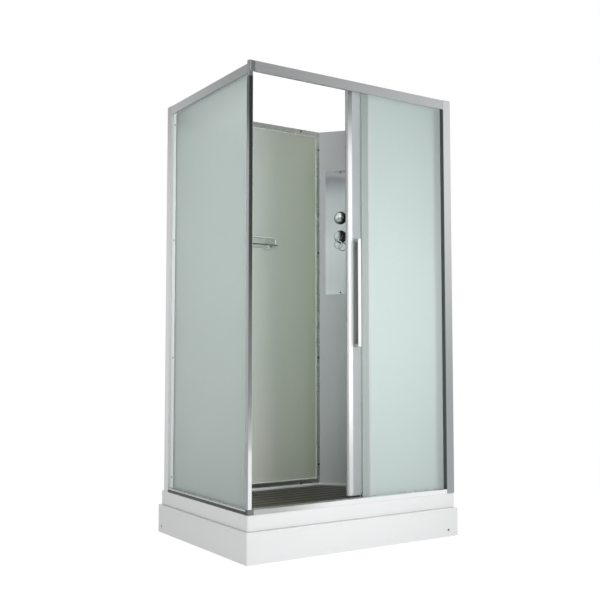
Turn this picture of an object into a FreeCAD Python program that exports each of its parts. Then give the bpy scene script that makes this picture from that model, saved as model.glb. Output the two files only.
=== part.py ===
import FreeCAD, Part
import math
import os

# Rectangular shower cabin with one sliding door, a fixed front panel, a side panel,
# two back walls and a turned corner column with the valves.
# Millimetres, +Z up. The origin is at the middle of the base on the floor.
# The front with the door faces -Y and the free side panel faces -X.

V = FreeCAD.Vector
os.makedirs("parts", exist_ok=True)

# Base
base_width = 1200.0
base_depth = 900.0
cabin_height = 2188.0
apron_height = 138.0
apron_wall = 4.0
apron_flange = 27.0
apron_floor_gap = 2.0
apron_corner_r = 8.0
apron_edge_r = 2.5
apron_screw_z = 34.0
apron_screw_sink = 1.4
apron_screw_inset_left = 36.0
apron_screw_inset_front = 60.0
step_left = 14.0
step_front = 19.0

# Tray
tray_wall = 5.0
tray_gap = 1.0
rim_z = 207.0
ledge_drop = 33.0
floor_drop = 83.0
rim_left = 46.0
rim_front = 70.0
rim_right = 40.0
rim_back = 24.0
basin_lap = 8.0
basin_r = 22.0
tray_corner_r = 10.0
tray_edge_r = 4.0

# Support frame and feet
beam = 25.0
beam_wall = 1.5
beam_cross_inset = 120.0
beam_long_inset = 200.0
frame_setback = 60.0
tab_plate = 4.0
tab_drop = 20.0
tab_width = 34.0
rod_r = 6.0
nut_flats = 19.0
nut_height = 10.0
thread_gap = 0.05
pad_r = 24.0
pad_height = 14.0
pad_socket = 8.0

# Drain
drain_from_right = 263.0
drain_from_back = 270.0
drain_bore_r = 25.0
drain_neck_wall = 3.0
drain_flange_r = 57.0
drain_flange_t = 3.0
drain_cover_r = 52.0
drain_cover_rise = 8.0
trap_wall = 4.0
trap_r = 50.0
trap_bottom_z = 34.0
outlet_r = 20.0
outlet_wall = 3.0
outlet_collar_r = 24.0
outlet_collar_l = 6.0
outlet_length = 46.0
outlet_z = 64.0
fit_gap = 0.2

# Slatted deck
slat_t = 20.0
slat_width = 62.0
slat_gap = 6.0
slat_edge_r = 2.5
deck_margin = 5.0
batten_width = 40.0
batten_h = 24.0
batten_end = 105.0
batten_count = 4

# Frame profiles
wall_t = 1.8
corner_w = 21.0
corner_d = 20.0
corner_leg = 2.0
corner_leg_reach = 31.0
corner_groove = 9.0
corner_r = 1.5
cap_w = 31.0
cap_d = 18.0
cap_skin = 2.0
cap_corner_r = 11.0
cap_foot_r = 3.0
cap_top_r = 4.0
collar_h = 24.0
collar_inset = 1.0
front_rail_h = 47.0
front_rail_d = 59.0
front_fascia = 17.5
left_rail_h = 42.0
left_rail_w = 26.0
left_rail_drop = 15.0
front_sill_h = 24.0
left_sill_h = 20.0
right_inset = 1.0
right_post_w = 48.0
right_post_leg = 3.0
back_post_w = 46.0
lip_reach = 40.0
lip_t = 1.6
lip_end_gap = 2.0
post_cap_t = 2.0
post_cap_r = 1.0
post_edge_r = 1.2

# Glass
glass_t = 5.0
gasket_t = 1.5
glass_bite = 14.0
side_setback = 13.0
front_setback = 26.0
door_gap = 7.0

# Walls
wall_inset_back = 30.0
wall_inset_right = 65.0
wall_d = 20.0
wall_drop = 13.0
stile_w = 18.0
wall_rail_top_h = 28.0
wall_rail_bottom_h = 30.0
groove_depth = 8.0
groove_gap = 0.2
wall_screw_top = 103.0
wall_screw_bottom = 108.0
wall_screw_count = 4
wall_screw_end = 125.0
wall_screw_edge = 7.0
screw_head_r = 5.5
screw_head_t = 2.0
screw_r = 2.0
screw_gap = 0.2

# Door
strike_seal_t = 6.0
strike_seal_w = 15.0
close_gap = 0.3
pocket_gap = 3.0
door_overlap = 18.0
handle_strip = 83.0
door_bottom_gap = 7.0
door_top_drop = 3.5
edge_seal_w = 8.0
edge_seal_d = 11.0
edge_profile_w = 24.0
edge_profile_d = 17.0
edge_profile_inset = 2.0
edge_profile_drop = 5.0
edge_profile_r = 2.0
edge_slot = 20.0
trail_seal_w = 8.0
trail_seal_t = 1.2
trail_seal_inset = 54.0
fixed_seal_w = 42.0
fixed_seal_t = 1.2
fixed_seal_bead = 5.0
fixed_seal_rise = 1.6

# Handle
handle_offset = 42.0
handle_w = 17.6
handle_d = 36.0
handle_bottom = 930.0
handle_length = 508.0
handle_wall = 3.0
handle_edge_r = 1.0
handle_cap_t = 12.0
handle_bolt_inset = 40.0
handle_bolt_r = 3.0
handle_screw_inset = 42.0

# Rollers
roller_lead = 95.0
roller_trail = 75.0
top_wheel_r = 10.0
top_root_r = 7.5
bottom_wheel_r = 11.0
bottom_root_r = 8.5
wheel_w = 8.0
wheel_back_gap = 1.5
rib_t = 2.5
rib_gap = 0.4
top_rib_h = 4.0
bottom_rib_h = 19.0
roll_gap = 0.3
axle_r = 3.0
axle_gap = 0.05
hub_cap_r = 11.0
hub_cap_t = 2.5
hub_sleeve_r = 5.5
hub_hole_r = 6.0
hub_washer_t = 3.0
hub_washer_r = 9.0
bottom_hub_rise = 30.0
bracket_w = 24.0
stop_length = 16.0
stop_gap = 1.5

# Corner column and valves
column_turn = 50.0
column_face = 250.0
column_return = 19.3
column_t = 3.5
column_flange = 30.0
plate_w = 176.0
plate_h = 708.0
plate_z = 1237.0
plate_t = 2.0
plate_screw_inset = 10.0
diverter_rise = 434.0
mixer_rise = 327.0
rosette_r = 36.5
rosette_t = 6.0
valve_gap = 1.0
diverter_body_r = 20.0
diverter_body_l = 46.0
spindle_r = 5.0
spindle_l = 30.0
knob_r = 26.0
knob_l = 30.0
mixer_body_r = 23.0
mixer_body_l = 58.0
mixer_nose = 40.0
dome_r = 24.0
dome_l = 19.0
nipple_r = 10.48
nipple_bore_r = 7.0
nipple_l = 24.0
nipple_collar_r = 14.0
nipple_collar_l = 5.0
arm_r = 12.5
arm_reach = 50.0
mixer_flange_r = 28.0
cartridge_r = 4.0
cartridge_l = 8.0
pipe_r = 7.0
pipe_bend_r = 16.0
pipe_offset = 84.0
lever_ring_r = 22.0
lever_bar_r = 3.2
lever_drop = 51.0
lever_pivot_drop = 13.0
lever_tongue_w = 9.0
lever_tongue_t = 6.0
lever_pin_r = 2.0
run_gap = 0.5
hose_outlet_u = 55.0
hose_outlet_rise = 93.0
hose_flange_r = 24.0
hose_flange_t = 7.0
hose_collar_l = 8.0
hose_thread_l = 14.0

# Shelf
shelf_clear = 337.0
shelf_w = 350.0
shelf_d = 118.0
shelf_t = 6.0
shelf_z = 1486.0
shelf_corner_r = 24.0
gallery_r = 4.0
gallery_rise = 34.0
gallery_inset = 10.0
gallery_bend_r = 12.0
gallery_rosette_r = 10.0
gallery_rosette_t = 4.0
bracket_inset = 25.0
bracket_r = 5.0
bracket_rosette_r = 9.0

# Places worked out from the sizes above
ledge_z = rim_z - ledge_drop
floor_z = rim_z - floor_drop
beam_cross_x = base_width / 2 - beam_cross_inset
beam_long_y = base_depth / 2 - beam_long_inset
right_wall_x = base_width / 2 - wall_inset_right
drain_x = right_wall_x - drain_from_right
wall_top_z = cabin_height - wall_drop
left_x = -base_width / 2 + step_left
front_y = -base_depth / 2 + step_front
right_x = base_width / 2 - right_inset
back_y = base_depth / 2
wall_back_y = back_y - wall_inset_back
wall_front_y = wall_back_y - wall_d
drain_y = wall_front_y - drain_from_back
lip_z = apron_height + tray_gap

side_x0 = left_x + side_setback
side_x1 = side_x0 + glass_t
front_y0 = front_y + front_setback
front_y1 = front_y0 + glass_t
door_y0 = front_y1 + door_gap
door_y1 = door_y0 + glass_t

rail_y1 = front_y + front_rail_d
rail_z1 = cabin_height
rail_z0 = rail_z1 - front_rail_h
rail_in_z = rail_z0 + front_fascia
left_z1 = cabin_height - left_rail_drop
left_z0 = left_z1 - left_rail_h
sill_z1 = rim_z + front_sill_h
door_bottom_z = sill_z1 + door_bottom_gap
door_top_z = cabin_height - door_top_drop
edge_profile_bottom = door_bottom_z + edge_profile_inset
edge_profile_top = rail_in_z - edge_profile_drop
trail_seal_bottom = door_bottom_z + trail_seal_inset
trail_seal_top = door_top_z - trail_seal_inset
left_sill_z1 = rim_z + left_sill_h
left_rail_x1 = left_x + left_rail_w

right_post_x0 = right_x - right_post_w
back_post_y0 = wall_back_y - back_post_w
cap_x1 = left_x + cap_w
cap_y1 = front_y + cap_d
cap_z0 = rail_z0
collar_z0 = cap_z0 - collar_h

channel_y0 = front_y0 - gasket_t
channel_y1 = front_y1 + gasket_t
channel_x0 = side_x0 - gasket_t
channel_x1 = side_x1 + gasket_t
fixed_right = right_post_x0 + glass_bite
channel_end = fixed_right + 2.0

closed_edge = left_x + corner_w + strike_seal_t + close_gap
pocket_end = right_x - right_post_leg - pocket_gap
door_width = (pocket_end - closed_edge + door_overlap + handle_strip) / 2
door_travel = pocket_end - closed_edge - door_width
edge_x = pocket_end - door_width
trail_x = pocket_end
fixed_left = closed_edge + door_width - door_overlap

wheel_y1 = rail_y1 - wall_t - wheel_back_gap
wheel_y0 = wheel_y1 - wheel_w
track_y = (wheel_y0 + wheel_y1) / 2
top_rib_top = rail_in_z + wall_t + top_rib_h
top_wheel_z = top_rib_top + top_root_r + roll_gap
bottom_rib_top = rim_z + bottom_rib_h
bottom_wheel_z = bottom_rib_top + bottom_root_r + roll_gap
bottom_hub_z = bottom_wheel_z + bottom_hub_rise
roller_x = (edge_x + roller_lead, trail_x - roller_trail)

turn = math.radians(column_turn)
face_u = V(math.cos(turn), -math.sin(turn), 0)
face_n = V(-math.sin(turn), -math.cos(turn), 0)
column_x = right_wall_x - column_return - column_face * math.cos(turn)
column_start = V(column_x, wall_front_y, 0)
column_end = column_start + face_u * column_face
right_wall_y1 = column_end.y
right_wall_y0 = rail_y1 + right_post_leg
right_wall_x1 = right_wall_x + wall_d
plate_u = column_face / 2
diverter_z = plate_z + diverter_rise
mixer_z = plate_z + mixer_rise
hose_outlet_z = plate_z + hose_outlet_rise
wall_screw_step = (wall_top_z - wall_screw_top - ledge_z - wall_screw_bottom) / (wall_screw_count - 1)
wall_screw_z = [ledge_z + wall_screw_bottom + k * wall_screw_step for k in range(wall_screw_count)]


# Shape helpers

def box(x0, x1, y0, y1, z0, z1):
    return Part.makeBox(x1 - x0, y1 - y0, z1 - z0, V(x0, y0, z0))


def fuse(shapes):
    body = shapes[0]
    if len(shapes) > 1:
        body = body.multiFuse(shapes[1:])
    return body.removeSplitter()


def prism(points, z0, z1):
    corners = [V(x, y, z0) for x, y in points]
    face = Part.Face(Part.makePolygon(corners + corners[:1]))
    return face.extrude(V(0, 0, z1 - z0))


def rod(start, direction, length, radius):
    return Part.makeCylinder(radius, length, start, direction)


def round_edges(shape, radius, chosen):
    edges = [edge for edge in shape.Edges if chosen(edge)]
    return shape.makeFillet(radius, edges)


def is_upright(edge):
    return abs(edge.tangentAt(edge.FirstParameter).z) > 0.99


def lies_at(z):
    def chosen(edge):
        bounds = edge.BoundBox
        return abs(bounds.ZMin - z) < 0.01 and abs(bounds.ZMax - z) < 0.01
    return chosen


def turned(profile, start, axis):
    """Solid of revolution: profile is a list of (along the axis, radius) corners."""
    side = V(0, 0, 1) if abs(axis.z) < 0.5 else V(1, 0, 0)
    corners = [start + axis * along + side * radius for along, radius in profile]
    face = Part.Face(Part.makePolygon(corners + corners[:1]))
    return face.revolve(start, axis, 360)


def on_column(u, n, z):
    """Point on the column's front face: u along the face, n out of it into the cabin."""
    return column_start + face_u * u + face_n * n + V(0, 0, z)


def slab_on_column(u0, u1, n0, n1, z0, z1):
    corners = [on_column(u, n, 0) for u, n in ((u0, n0), (u1, n0), (u1, n1), (u0, n1))]
    return prism([(p.x, p.y) for p in corners], z0, z1)


def save(name, solids):
    if not isinstance(solids, (list, tuple)):
        solids = [solids]
    flat = [solid for shape in solids for solid in shape.Solids]
    shape = flat[0] if len(flat) == 1 else Part.makeCompound(flat)
    shape.exportStep(os.path.join("parts", name + ".step"))


# Outline of the basin: a rectangle with the column's corner cut off

def basin_outline(margin):
    x0 = left_x + rim_left + margin
    y0 = front_y + rim_front + margin
    x1 = right_wall_x - basin_lap - margin
    y1 = wall_front_y - basin_lap - margin
    start = column_start + face_n * (basin_lap + margin)
    slope = face_u.y / face_u.x
    y_right = start.y + (x1 - start.x) * slope
    x_back = start.x + (y1 - start.y) / slope
    return [(x0, y0), (x1, y0), (x1, y_right), (x_back, y1), (x0, y1)]


def basin_prism(margin, z0, z1, radius):
    return round_edges(prism(basin_outline(margin), z0, z1), radius, is_upright)


# Tray: one white acrylic shell with a step on the free sides and a ledge for the walls

def ledge_shapes(grow, z0, z1):
    x1 = base_width / 2 - rim_right + grow
    y1 = back_y - rim_back + grow
    outline = basin_outline(-grow)
    x_right, y_right = outline[2]
    x_back, y_back = outline[3]
    back_strip = box(left_rail_x1 - grow, x1, y_back - basin_lap, y1, z0, z1)
    right_strip = box(x_right - basin_lap, x1, right_wall_y0 - grow, y1, z0, z1)
    corner = prism([(x_back, y_back), (x_right, y_right), (x1, y_right), (x1, y1), (x_back, y1)], z0, z1)
    return back_strip.multiFuse([right_strip, corner])


def make_tray():
    block = box(left_x, base_width / 2, front_y, back_y, lip_z, rim_z)
    block = round_edges(block, tray_corner_r, is_upright)
    block = round_edges(block, tray_edge_r, lies_at(rim_z))
    bowl = basin_prism(-tray_wall, floor_z - tray_wall, rim_z - tray_edge_r, basin_r + tray_wall)
    hollow = box(left_x + tray_wall, base_width / 2 - tray_wall, front_y + tray_wall, back_y - tray_wall,
                 lip_z - tray_wall, rim_z - tray_wall)
    hollow = hollow.cut(ledge_shapes(tray_wall, ledge_z - tray_wall, rim_z)).cut(bowl)
    shell = block.cut(hollow).fuse(bowl)
    above = rim_z + tray_wall
    shell = shell.cut(basin_prism(0, floor_z, above, basin_r))
    shell = shell.cut(ledge_shapes(0, ledge_z, above))
    drain_hole = rod(V(drain_x, drain_y, floor_z - 2 * tray_wall), V(0, 0, 1), 3 * tray_wall,
                     drain_bore_r + drain_neck_wall + fit_gap)
    return shell.cut(drain_hole).removeSplitter()


save("tray", make_tray())


# Apron: L-shaped skirt panel with a folded top edge, on the front and the left side

def make_apron():
    x0, x1 = -base_width / 2, base_width / 2
    y0, y1 = -back_y, back_y

    def ell(inset, reach, z0, z1):
        return prism([(x0 + inset, y0 + inset), (x1, y0 + inset), (x1, y0 + reach),
                      (x0 + reach, y0 + reach), (x0 + reach, y1), (x0 + inset, y1)], z0, z1)
    panel = ell(0, apron_flange, apron_floor_gap, apron_height)

    def outer_corner(edge):
        middle = edge.BoundBox.Center
        return is_upright(edge) and abs(middle.x - x0) < 0.1 and abs(middle.y - y0) < 0.1
    panel = round_edges(panel, apron_corner_r, outer_corner)

    def top_outer(edge):
        middle = edge.BoundBox.Center
        on_front = abs(middle.y - y0) < apron_corner_r
        on_left = abs(middle.x - x0) < apron_corner_r
        return lies_at(apron_height)(edge) and (on_front or on_left) and edge.Length > apron_corner_r
    panel = round_edges(panel, apron_edge_r, top_outer)
    panel = panel.cut(ell(apron_wall, apron_flange + apron_wall, 0, apron_height - apron_wall))
    for point, direction in apron_screw_places():
        seat = point - direction * apron_screw_sink
        panel = panel.cut(rod(seat, direction, 3 * apron_wall, screw_r + screw_gap))
        panel = panel.cut(rod(seat, direction, apron_screw_sink * 2, screw_head_r + 2 * screw_gap))
    return panel


def apron_screw_places():
    left = V(-base_width / 2, back_y - apron_screw_inset_left, apron_screw_z)
    front = V(base_width / 2 - apron_screw_inset_front, -back_y, apron_screw_z)
    return ((left, V(1, 0, 0)), (front, V(0, 1, 0)))


def pan_screw(point, direction, length, head_r=screw_head_r):
    """Screw whose head sits on point and whose shank runs along direction."""
    head = turned([(0, 0), (0, head_r), (-screw_head_t * 0.6, head_r * 0.95),
                   (-screw_head_t, head_r * 0.6), (-screw_head_t, 0)], point, direction)
    return fuse([head, rod(point, direction, length, screw_r)])


save("apron", make_apron())
save("apron_screws", [pan_screw(point + direction * apron_screw_sink, direction, apron_wall + tab_plate + 4)
                      for point, direction in apron_screw_places()])


# Support frame: welded square tube with tabs for the apron's screws

beam_z1 = floor_z - tray_wall
beam_z0 = beam_z1 - beam


def tube(x0, x1, y0, y1, along):
    outer = box(x0, x1, y0, y1, beam_z0, beam_z1)
    w = beam_wall
    if along == "x":
        inner = box(x0, x1, y0 + w, y1 - w, beam_z0 + w, beam_z1 - w)
    else:
        inner = box(x0 + w, x1 - w, y0, y1, beam_z0 + w, beam_z1 - w)
    return outer.cut(inner)


def make_support_frame():
    half = beam / 2
    y_end = back_y - frame_setback
    pieces = []
    for x in (-beam_cross_x, beam_cross_x):
        pieces.append(tube(x - half, x + half, -y_end, y_end, "y"))
    for y in (-beam_long_y, beam_long_y):
        pieces.append(tube(half - beam_cross_x, beam_cross_x - half, y - half, y + half, "x"))
    (left_screw, _), (front_screw, _) = apron_screw_places()
    tab_x0 = left_screw.x + apron_wall
    tab_y0 = front_screw.y + apron_wall
    tab_z0 = apron_screw_z - tab_drop
    stub_y1 = y_end
    stub_x0 = tab_x0 + tab_plate
    left_stub = tube(stub_x0, -beam_cross_x - half, stub_y1 - beam, stub_y1, "x")
    left_tab = box(tab_x0, stub_x0, stub_y1 - beam, left_screw.y + tab_width / 2, tab_z0, beam_z1)
    stub_y0 = tab_y0 + tab_plate
    front_stub = tube(beam_cross_x - half, beam_cross_x + half, stub_y0, -y_end, "y")
    front_tab = box(beam_cross_x - half, front_screw.x + tab_width / 2, tab_y0, stub_y0, tab_z0, beam_z1)
    frame = fuse(pieces + [left_stub, left_tab, front_stub, front_tab])
    for point, direction in apron_screw_places():
        frame = frame.cut(rod(point, direction, apron_wall + 3 * tab_plate, screw_r + screw_gap))
    return frame


def foot_places():
    y_foot = back_y - frame_setback - beam
    corners = [(x, y) for x in (-beam_cross_x, beam_cross_x) for y in (-y_foot, y_foot)]
    return corners + [(0, -beam_long_y), (0, beam_long_y)]


def hex_nut(x, y, z0):
    corner = nut_flats / math.sqrt(3)
    angles = [math.radians(60 * k) for k in range(6)]
    nut = prism([(x + corner * math.cos(a), y + corner * math.sin(a)) for a in angles], z0, z0 + nut_height)
    return nut.cut(rod(V(x, y, z0 - 1), V(0, 0, 1), nut_height + 2, rod_r + thread_gap))


def foot_pad(x, y):
    base = V(x, y, 0)
    hub_r = rod_r + 6
    profile = [(0, 0), (0, pad_r - 1), (1, pad_r), (4, pad_r), (7, hub_r),
               (pad_height, hub_r - 1), (pad_height, 0)]
    pad = turned(profile, base, V(0, 0, 1))
    return pad.cut(rod(V(x, y, pad_height - pad_socket), V(0, 0, 1), pad_socket + 1, rod_r + thread_gap))


rod_z0 = pad_height - pad_socket
save("support_frame", make_support_frame())
save("foot_rods", [rod(V(x, y, rod_z0), V(0, 0, 1), beam_z0 - rod_z0, rod_r) for x, y in foot_places()])
save("foot_nuts", [hex_nut(x, y, z0) for x, y in foot_places()
                   for z0 in (beam_z0 - nut_height, beam_z0 - 2 * nut_height, pad_height)])
save("foot_pads", [foot_pad(x, y) for x, y in foot_places()])


# Drain: flange with a neck through the floor, cover on stubs, bottle trap with a side outlet

drain = V(drain_x, drain_y, 0)
neck_r = drain_bore_r + drain_neck_wall
neck_z0 = floor_z - tray_wall - 16
flange_top = floor_z + drain_flange_t


def make_drain_flange():
    ring = turned([(floor_z, drain_bore_r), (floor_z, drain_flange_r), (flange_top, drain_flange_r - 2),
                   (flange_top, drain_bore_r)], drain, V(0, 0, 1))
    neck = turned([(neck_z0, drain_bore_r), (neck_z0, neck_r), (floor_z, neck_r), (floor_z, drain_bore_r)],
                  drain, V(0, 0, 1))
    return fuse([ring, neck])


def make_drain_cover():
    top = flange_top + drain_cover_rise
    profile = [(flange_top + 4, 0), (flange_top + 4, drain_cover_r - 3), (flange_top + 3, drain_cover_r),
               (flange_top + 5, drain_cover_r), (top - 1, drain_cover_r * 0.6), (top, 0)]
    dome = turned(profile, drain, V(0, 0, 1))
    stubs = []
    for k in range(4):
        angle = math.radians(45 + 90 * k)
        reach = drain_cover_r - 10
        at = drain + V(reach * math.cos(angle), reach * math.sin(angle), flange_top)
        stubs.append(rod(at, V(0, 0, 1), 5, 3))
    return fuse([dome] + stubs)


def make_trap():
    top = floor_z - tray_wall
    inner = trap_r - trap_wall
    cup = turned([(trap_bottom_z, 0), (trap_bottom_z, trap_r - 8), (trap_bottom_z + 8, trap_r), (top, trap_r),
                  (top, neck_r + fit_gap), (top - 6, neck_r + fit_gap), (top - 6, inner),
                  (trap_bottom_z + 12, inner), (trap_bottom_z + trap_wall, inner - 8),
                  (trap_bottom_z + trap_wall, 0)], drain, V(0, 0, 1))
    out = V(0, 1, 0)
    mouth = drain + V(0, inner, outlet_z)
    collar_l = trap_wall + outlet_collar_l
    collar = rod(mouth, out, collar_l, outlet_collar_r)
    spigot = rod(mouth, out, collar_l + outlet_length, outlet_r)
    bore = rod(mouth - out * 6, out, collar_l + outlet_length + 12, outlet_r - outlet_wall)
    hollow = rod(drain + V(0, 0, trap_bottom_z + 12), V(0, 0, 1), top - 6 - trap_bottom_z - 12, inner)
    return fuse([cup, collar.cut(hollow), spigot.cut(hollow)]).cut(bore)


save("drain_flange", make_drain_flange())
save("drain_cover", make_drain_cover())
save("drain_trap", make_trap())


# Deck: hardwood slats across the basin on bearers that stand on the floor

slat_z0 = floor_z + batten_h
deck_top_z = slat_z0 + slat_t


def make_slats():
    outline = basin_prism(deck_margin, slat_z0, deck_top_z, basin_r - deck_margin)
    bounds = outline.BoundBox
    pitch = slat_width + slat_gap
    count = int((bounds.YLength + slat_gap) / pitch)
    start = bounds.Center.y - (count * pitch - slat_gap) / 2
    slats = []
    for k in range(count):
        y0 = start + k * pitch
        strip = box(bounds.XMin, bounds.XMax, y0, y0 + slat_width, slat_z0, deck_top_z).common(outline)
        slats.append(round_edges(strip.Solids[0], slat_edge_r, lies_at(deck_top_z)))
    return slats


def make_battens():
    outline = prism(basin_outline(2 * deck_margin + basin_r / 2), floor_z, slat_z0)
    bounds = outline.BoundBox
    first = bounds.XMin + batten_end
    step = (bounds.XLength - 2 * batten_end) / (batten_count - 1)
    half = batten_width / 2
    battens = []
    for k in range(batten_count):
        x = first + k * step
        battens.append(box(x - half, x + half, bounds.YMin, bounds.YMax, floor_z, slat_z0).common(outline))
    return battens


save("deck_slats", make_slats())
save("deck_battens", make_battens())


# Corner post: polished extrusion with a groove for the side glass and a leg for the strike seal

post_z0 = sill_z1


def make_corner_post():
    x1 = left_x + corner_w
    y1 = front_y + corner_d
    post = box(left_x, x1, front_y, y1, post_z0, collar_z0)
    post = round_edges(post, corner_r, is_upright)
    groove = box(channel_x0, channel_x1, y1 - corner_groove, y1 + 1, post_z0, collar_z0)
    core = box(left_x + wall_t, x1 - wall_t, front_y + wall_t, y1 - corner_groove - wall_t,
               post_z0, collar_z0)
    leg = box(x1 - corner_leg, x1, y1 - 2, y1 + corner_leg_reach, post_z0, collar_z0)
    return fuse([post.cut(groove).cut(core), leg])


strike_y0 = (door_y0 + door_y1 - strike_seal_w) / 2
strike_x0 = left_x + corner_w


def make_strike_seal():
    x1 = strike_x0 + strike_seal_t
    strip = box(strike_x0, x1, strike_y0, strike_y0 + strike_seal_w, post_z0, collar_z0)

    def nose(edge):
        return is_upright(edge) and abs(edge.BoundBox.XMin - x1) < 0.1
    return round_edges(strip, 2.0, nose)


save("corner_post", make_corner_post())
save("strike_seal", make_strike_seal())


# Corner caps: moulded blocks that join the rails above and below the corner post

def glass_corner():
    y0 = front_y + corner_d - corner_groove
    return box(channel_x0, channel_x1, y0, y0 + corner_d, rim_z + wall_t, left_z1 - wall_t - 4)


def at_outer_corner(edge):
    bounds = edge.BoundBox
    return is_upright(edge) and abs(bounds.XMin - left_x) < 0.1 and abs(bounds.YMin - front_y) < 0.1


def make_top_cap():
    top = rail_z1 + cap_skin
    block = box(left_x, cap_x1, front_y, cap_y1, cap_z0, top)
    block = round_edges(block, cap_corner_r, at_outer_corner)
    block = round_edges(block, cap_top_r, lies_at(top))
    x1, y1 = left_x + corner_w - collar_inset, front_y + corner_d - 2 - collar_inset
    collar = box(left_x + collar_inset, x1, front_y + collar_inset, y1, collar_z0, cap_z0)
    return fuse([block, collar]).cut(glass_corner())


def make_bottom_cap():
    block = box(left_x, cap_x1, front_y, cap_y1, rim_z, sill_z1)
    return round_edges(block, cap_foot_r, at_outer_corner).cut(glass_corner())


save("top_corner_cap", make_top_cap())
save("bottom_corner_cap", make_bottom_cap())


# Front rails: extrusions along X with a glass channel and a rib for the rollers

def along_x(rects, x0, x1):
    return fuse([box(x0, x1, y0, y1, z0, z1) for y0, y1, z0, z1 in rects])


def make_front_top_rail():
    t = wall_t
    rib = rib_t / 2
    rects = ((front_y, front_y + t, rail_z0, rail_z1),
             (front_y, rail_y1, rail_z1 - t, rail_z1),
             (rail_y1 - t, rail_y1, rail_in_z, rail_z1),
             (front_y, channel_y0, rail_in_z, rail_in_z + t),
             (channel_y0 - t, channel_y0, rail_in_z, rail_z1),
             (channel_y1, channel_y1 + lip_t, rail_in_z, rail_z1),
             (wheel_y0 - t, rail_y1, rail_in_z, rail_in_z + t),
             (track_y - rib, track_y + rib, rail_in_z, top_rib_top))
    return along_x(rects, cap_x1, right_post_x0)


def make_front_sill():
    t = wall_t
    rib = rib_t / 2
    inner_z = sill_z1 - 7
    rects = ((front_y, front_y + t, rim_z, sill_z1 - 3),
             (front_y, rail_y1, rim_z, rim_z + t),
             (channel_y0 - t, channel_y0, rim_z, sill_z1),
             (channel_y1, channel_y1 + lip_t, rim_z, inner_z),
             (rail_y1 - t, rail_y1, rim_z, inner_z - 2),
             (track_y - rib, track_y + rib, rim_z, bottom_rib_top))
    walls = along_x(rects, cap_x1, right_post_x0)
    slope = [V(cap_x1, front_y, sill_z1 - 3 - t), V(cap_x1, front_y, sill_z1 - 3),
             V(cap_x1, front_y + 5, sill_z1), V(cap_x1, channel_y0, sill_z1),
             V(cap_x1, channel_y0, sill_z1 - t), V(cap_x1, front_y + 5, sill_z1 - t)]
    top = Part.Face(Part.makePolygon(slope + slope[:1])).extrude(V(right_post_x0 - cap_x1, 0, 0))
    return fuse([walls, top])


save("front_top_rail", make_front_top_rail())
save("front_bottom_rail", make_front_sill())


# Left rails: extrusions along Y that hold the side glass at the top and the bottom

def make_left_rail(z0, z1, open_up):
    t = wall_t
    y0, y1 = cap_y1, back_post_y0
    floor = (z0, z0 + t) if open_up else (z1 - t, z1)
    lids = (z1 - t, z1) if open_up else (z0, z0 + t)
    rects = ((left_x, left_x + t, z0, z1), (left_rail_x1 - t, left_rail_x1, z0, z1),
             (left_x, left_rail_x1) + floor,
             (left_x, channel_x0) + lids, (channel_x1, left_rail_x1) + lids,
             (channel_x0 - t, channel_x0, z0, z1), (channel_x1, channel_x1 + t, z0, z1))
    return fuse([box(x0, x1, y0, y1, a, b) for x0, x1, a, b in rects])


save("left_top_rail", make_left_rail(left_z0, left_z1, False))
save("left_bottom_rail", make_left_rail(rim_z, left_sill_z1, True))


# Wall posts: the right post takes the fixed glass and the door's pocket, the back post the side glass

def make_right_post():
    t = wall_t
    x0, x1 = right_post_x0, right_x
    z0, z1 = rim_z, rail_z1
    shell = box(x0, x1, front_y, channel_y0, z0, z1)

    def front_edge(edge):
        return is_upright(edge) and abs(edge.BoundBox.YMin - front_y) < 0.1
    shell = round_edges(shell, post_edge_r, front_edge)
    shell = shell.cut(box(x0 + t, x1 - t, front_y + t, channel_y0 - t, z0, z1))
    stop = box(channel_end, channel_end + t, channel_y0 - t, channel_y1 + lip_t, z0, z1)
    back_of_channel = box(x0, channel_end + t, channel_y1, channel_y1 + lip_t, z0, z1)
    lip = box(x0 - lip_reach, x0 + t, channel_y1, channel_y1 + lip_t,
              sill_z1 + lip_end_gap, rail_z0 - lip_end_gap)
    leg = box(x1 - right_post_leg, x1, channel_y0 - t, right_wall_y0, z0, z1)
    flange = box(right_wall_x, x1, rail_y1, right_wall_y0, z0, z1)
    post = fuse([shell, stop, back_of_channel, lip, leg, flange])
    for z in wall_screw_z:
        start = V(x0 - lip_reach / 2, channel_y1 - 1, z)
        post = post.cut(rod(start, V(0, 1, 0), lip_t + 2, screw_r + screw_gap))
    return post


def make_back_post():
    t = wall_t
    x0, x1 = left_x, left_rail_x1
    y0, y1 = back_post_y0, wall_back_y
    z0, z1 = rim_z, left_z1
    slot_y1 = y0 + glass_bite + 1
    shell = box(x0, x1, y0, y1, z0, z1)
    shell = round_edges(shell, post_edge_r, is_upright)
    shell = shell.cut(box(x0 + t, x1 - t, slot_y1 + t, y1 - t, z0, z1))
    shell = shell.cut(box(channel_x0, channel_x1, y0 - 1, slot_y1, z0, z1))
    lip = box(channel_x1, channel_x1 + lip_t, y0 - lip_reach, y0 + t,
              left_sill_z1 + lip_end_gap, left_z0 - lip_end_gap)
    post = fuse([shell, lip])
    for z in wall_screw_z:
        start = V(channel_x1 - 1, y0 - lip_reach / 2, z)
        post = post.cut(rod(start, V(1, 0, 0), lip_t + 2, screw_r + screw_gap))
    return post


def make_post_caps():
    right_cap = box(right_post_x0, right_x, front_y, channel_y0, rail_z1, rail_z1 + post_cap_t)
    back_cap = box(left_x, left_rail_x1, back_post_y0, wall_back_y, left_z1, left_z1 + post_cap_t)
    return [round_edges(cap, post_cap_r, lies_at(cap.BoundBox.ZMax)) for cap in (right_cap, back_cap)]


save("right_post", make_right_post())
save("back_left_post", make_back_post())
save("post_caps", make_post_caps())


# Front and side glass, their gaskets and the clear strip on the fixed panel's free edge

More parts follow.
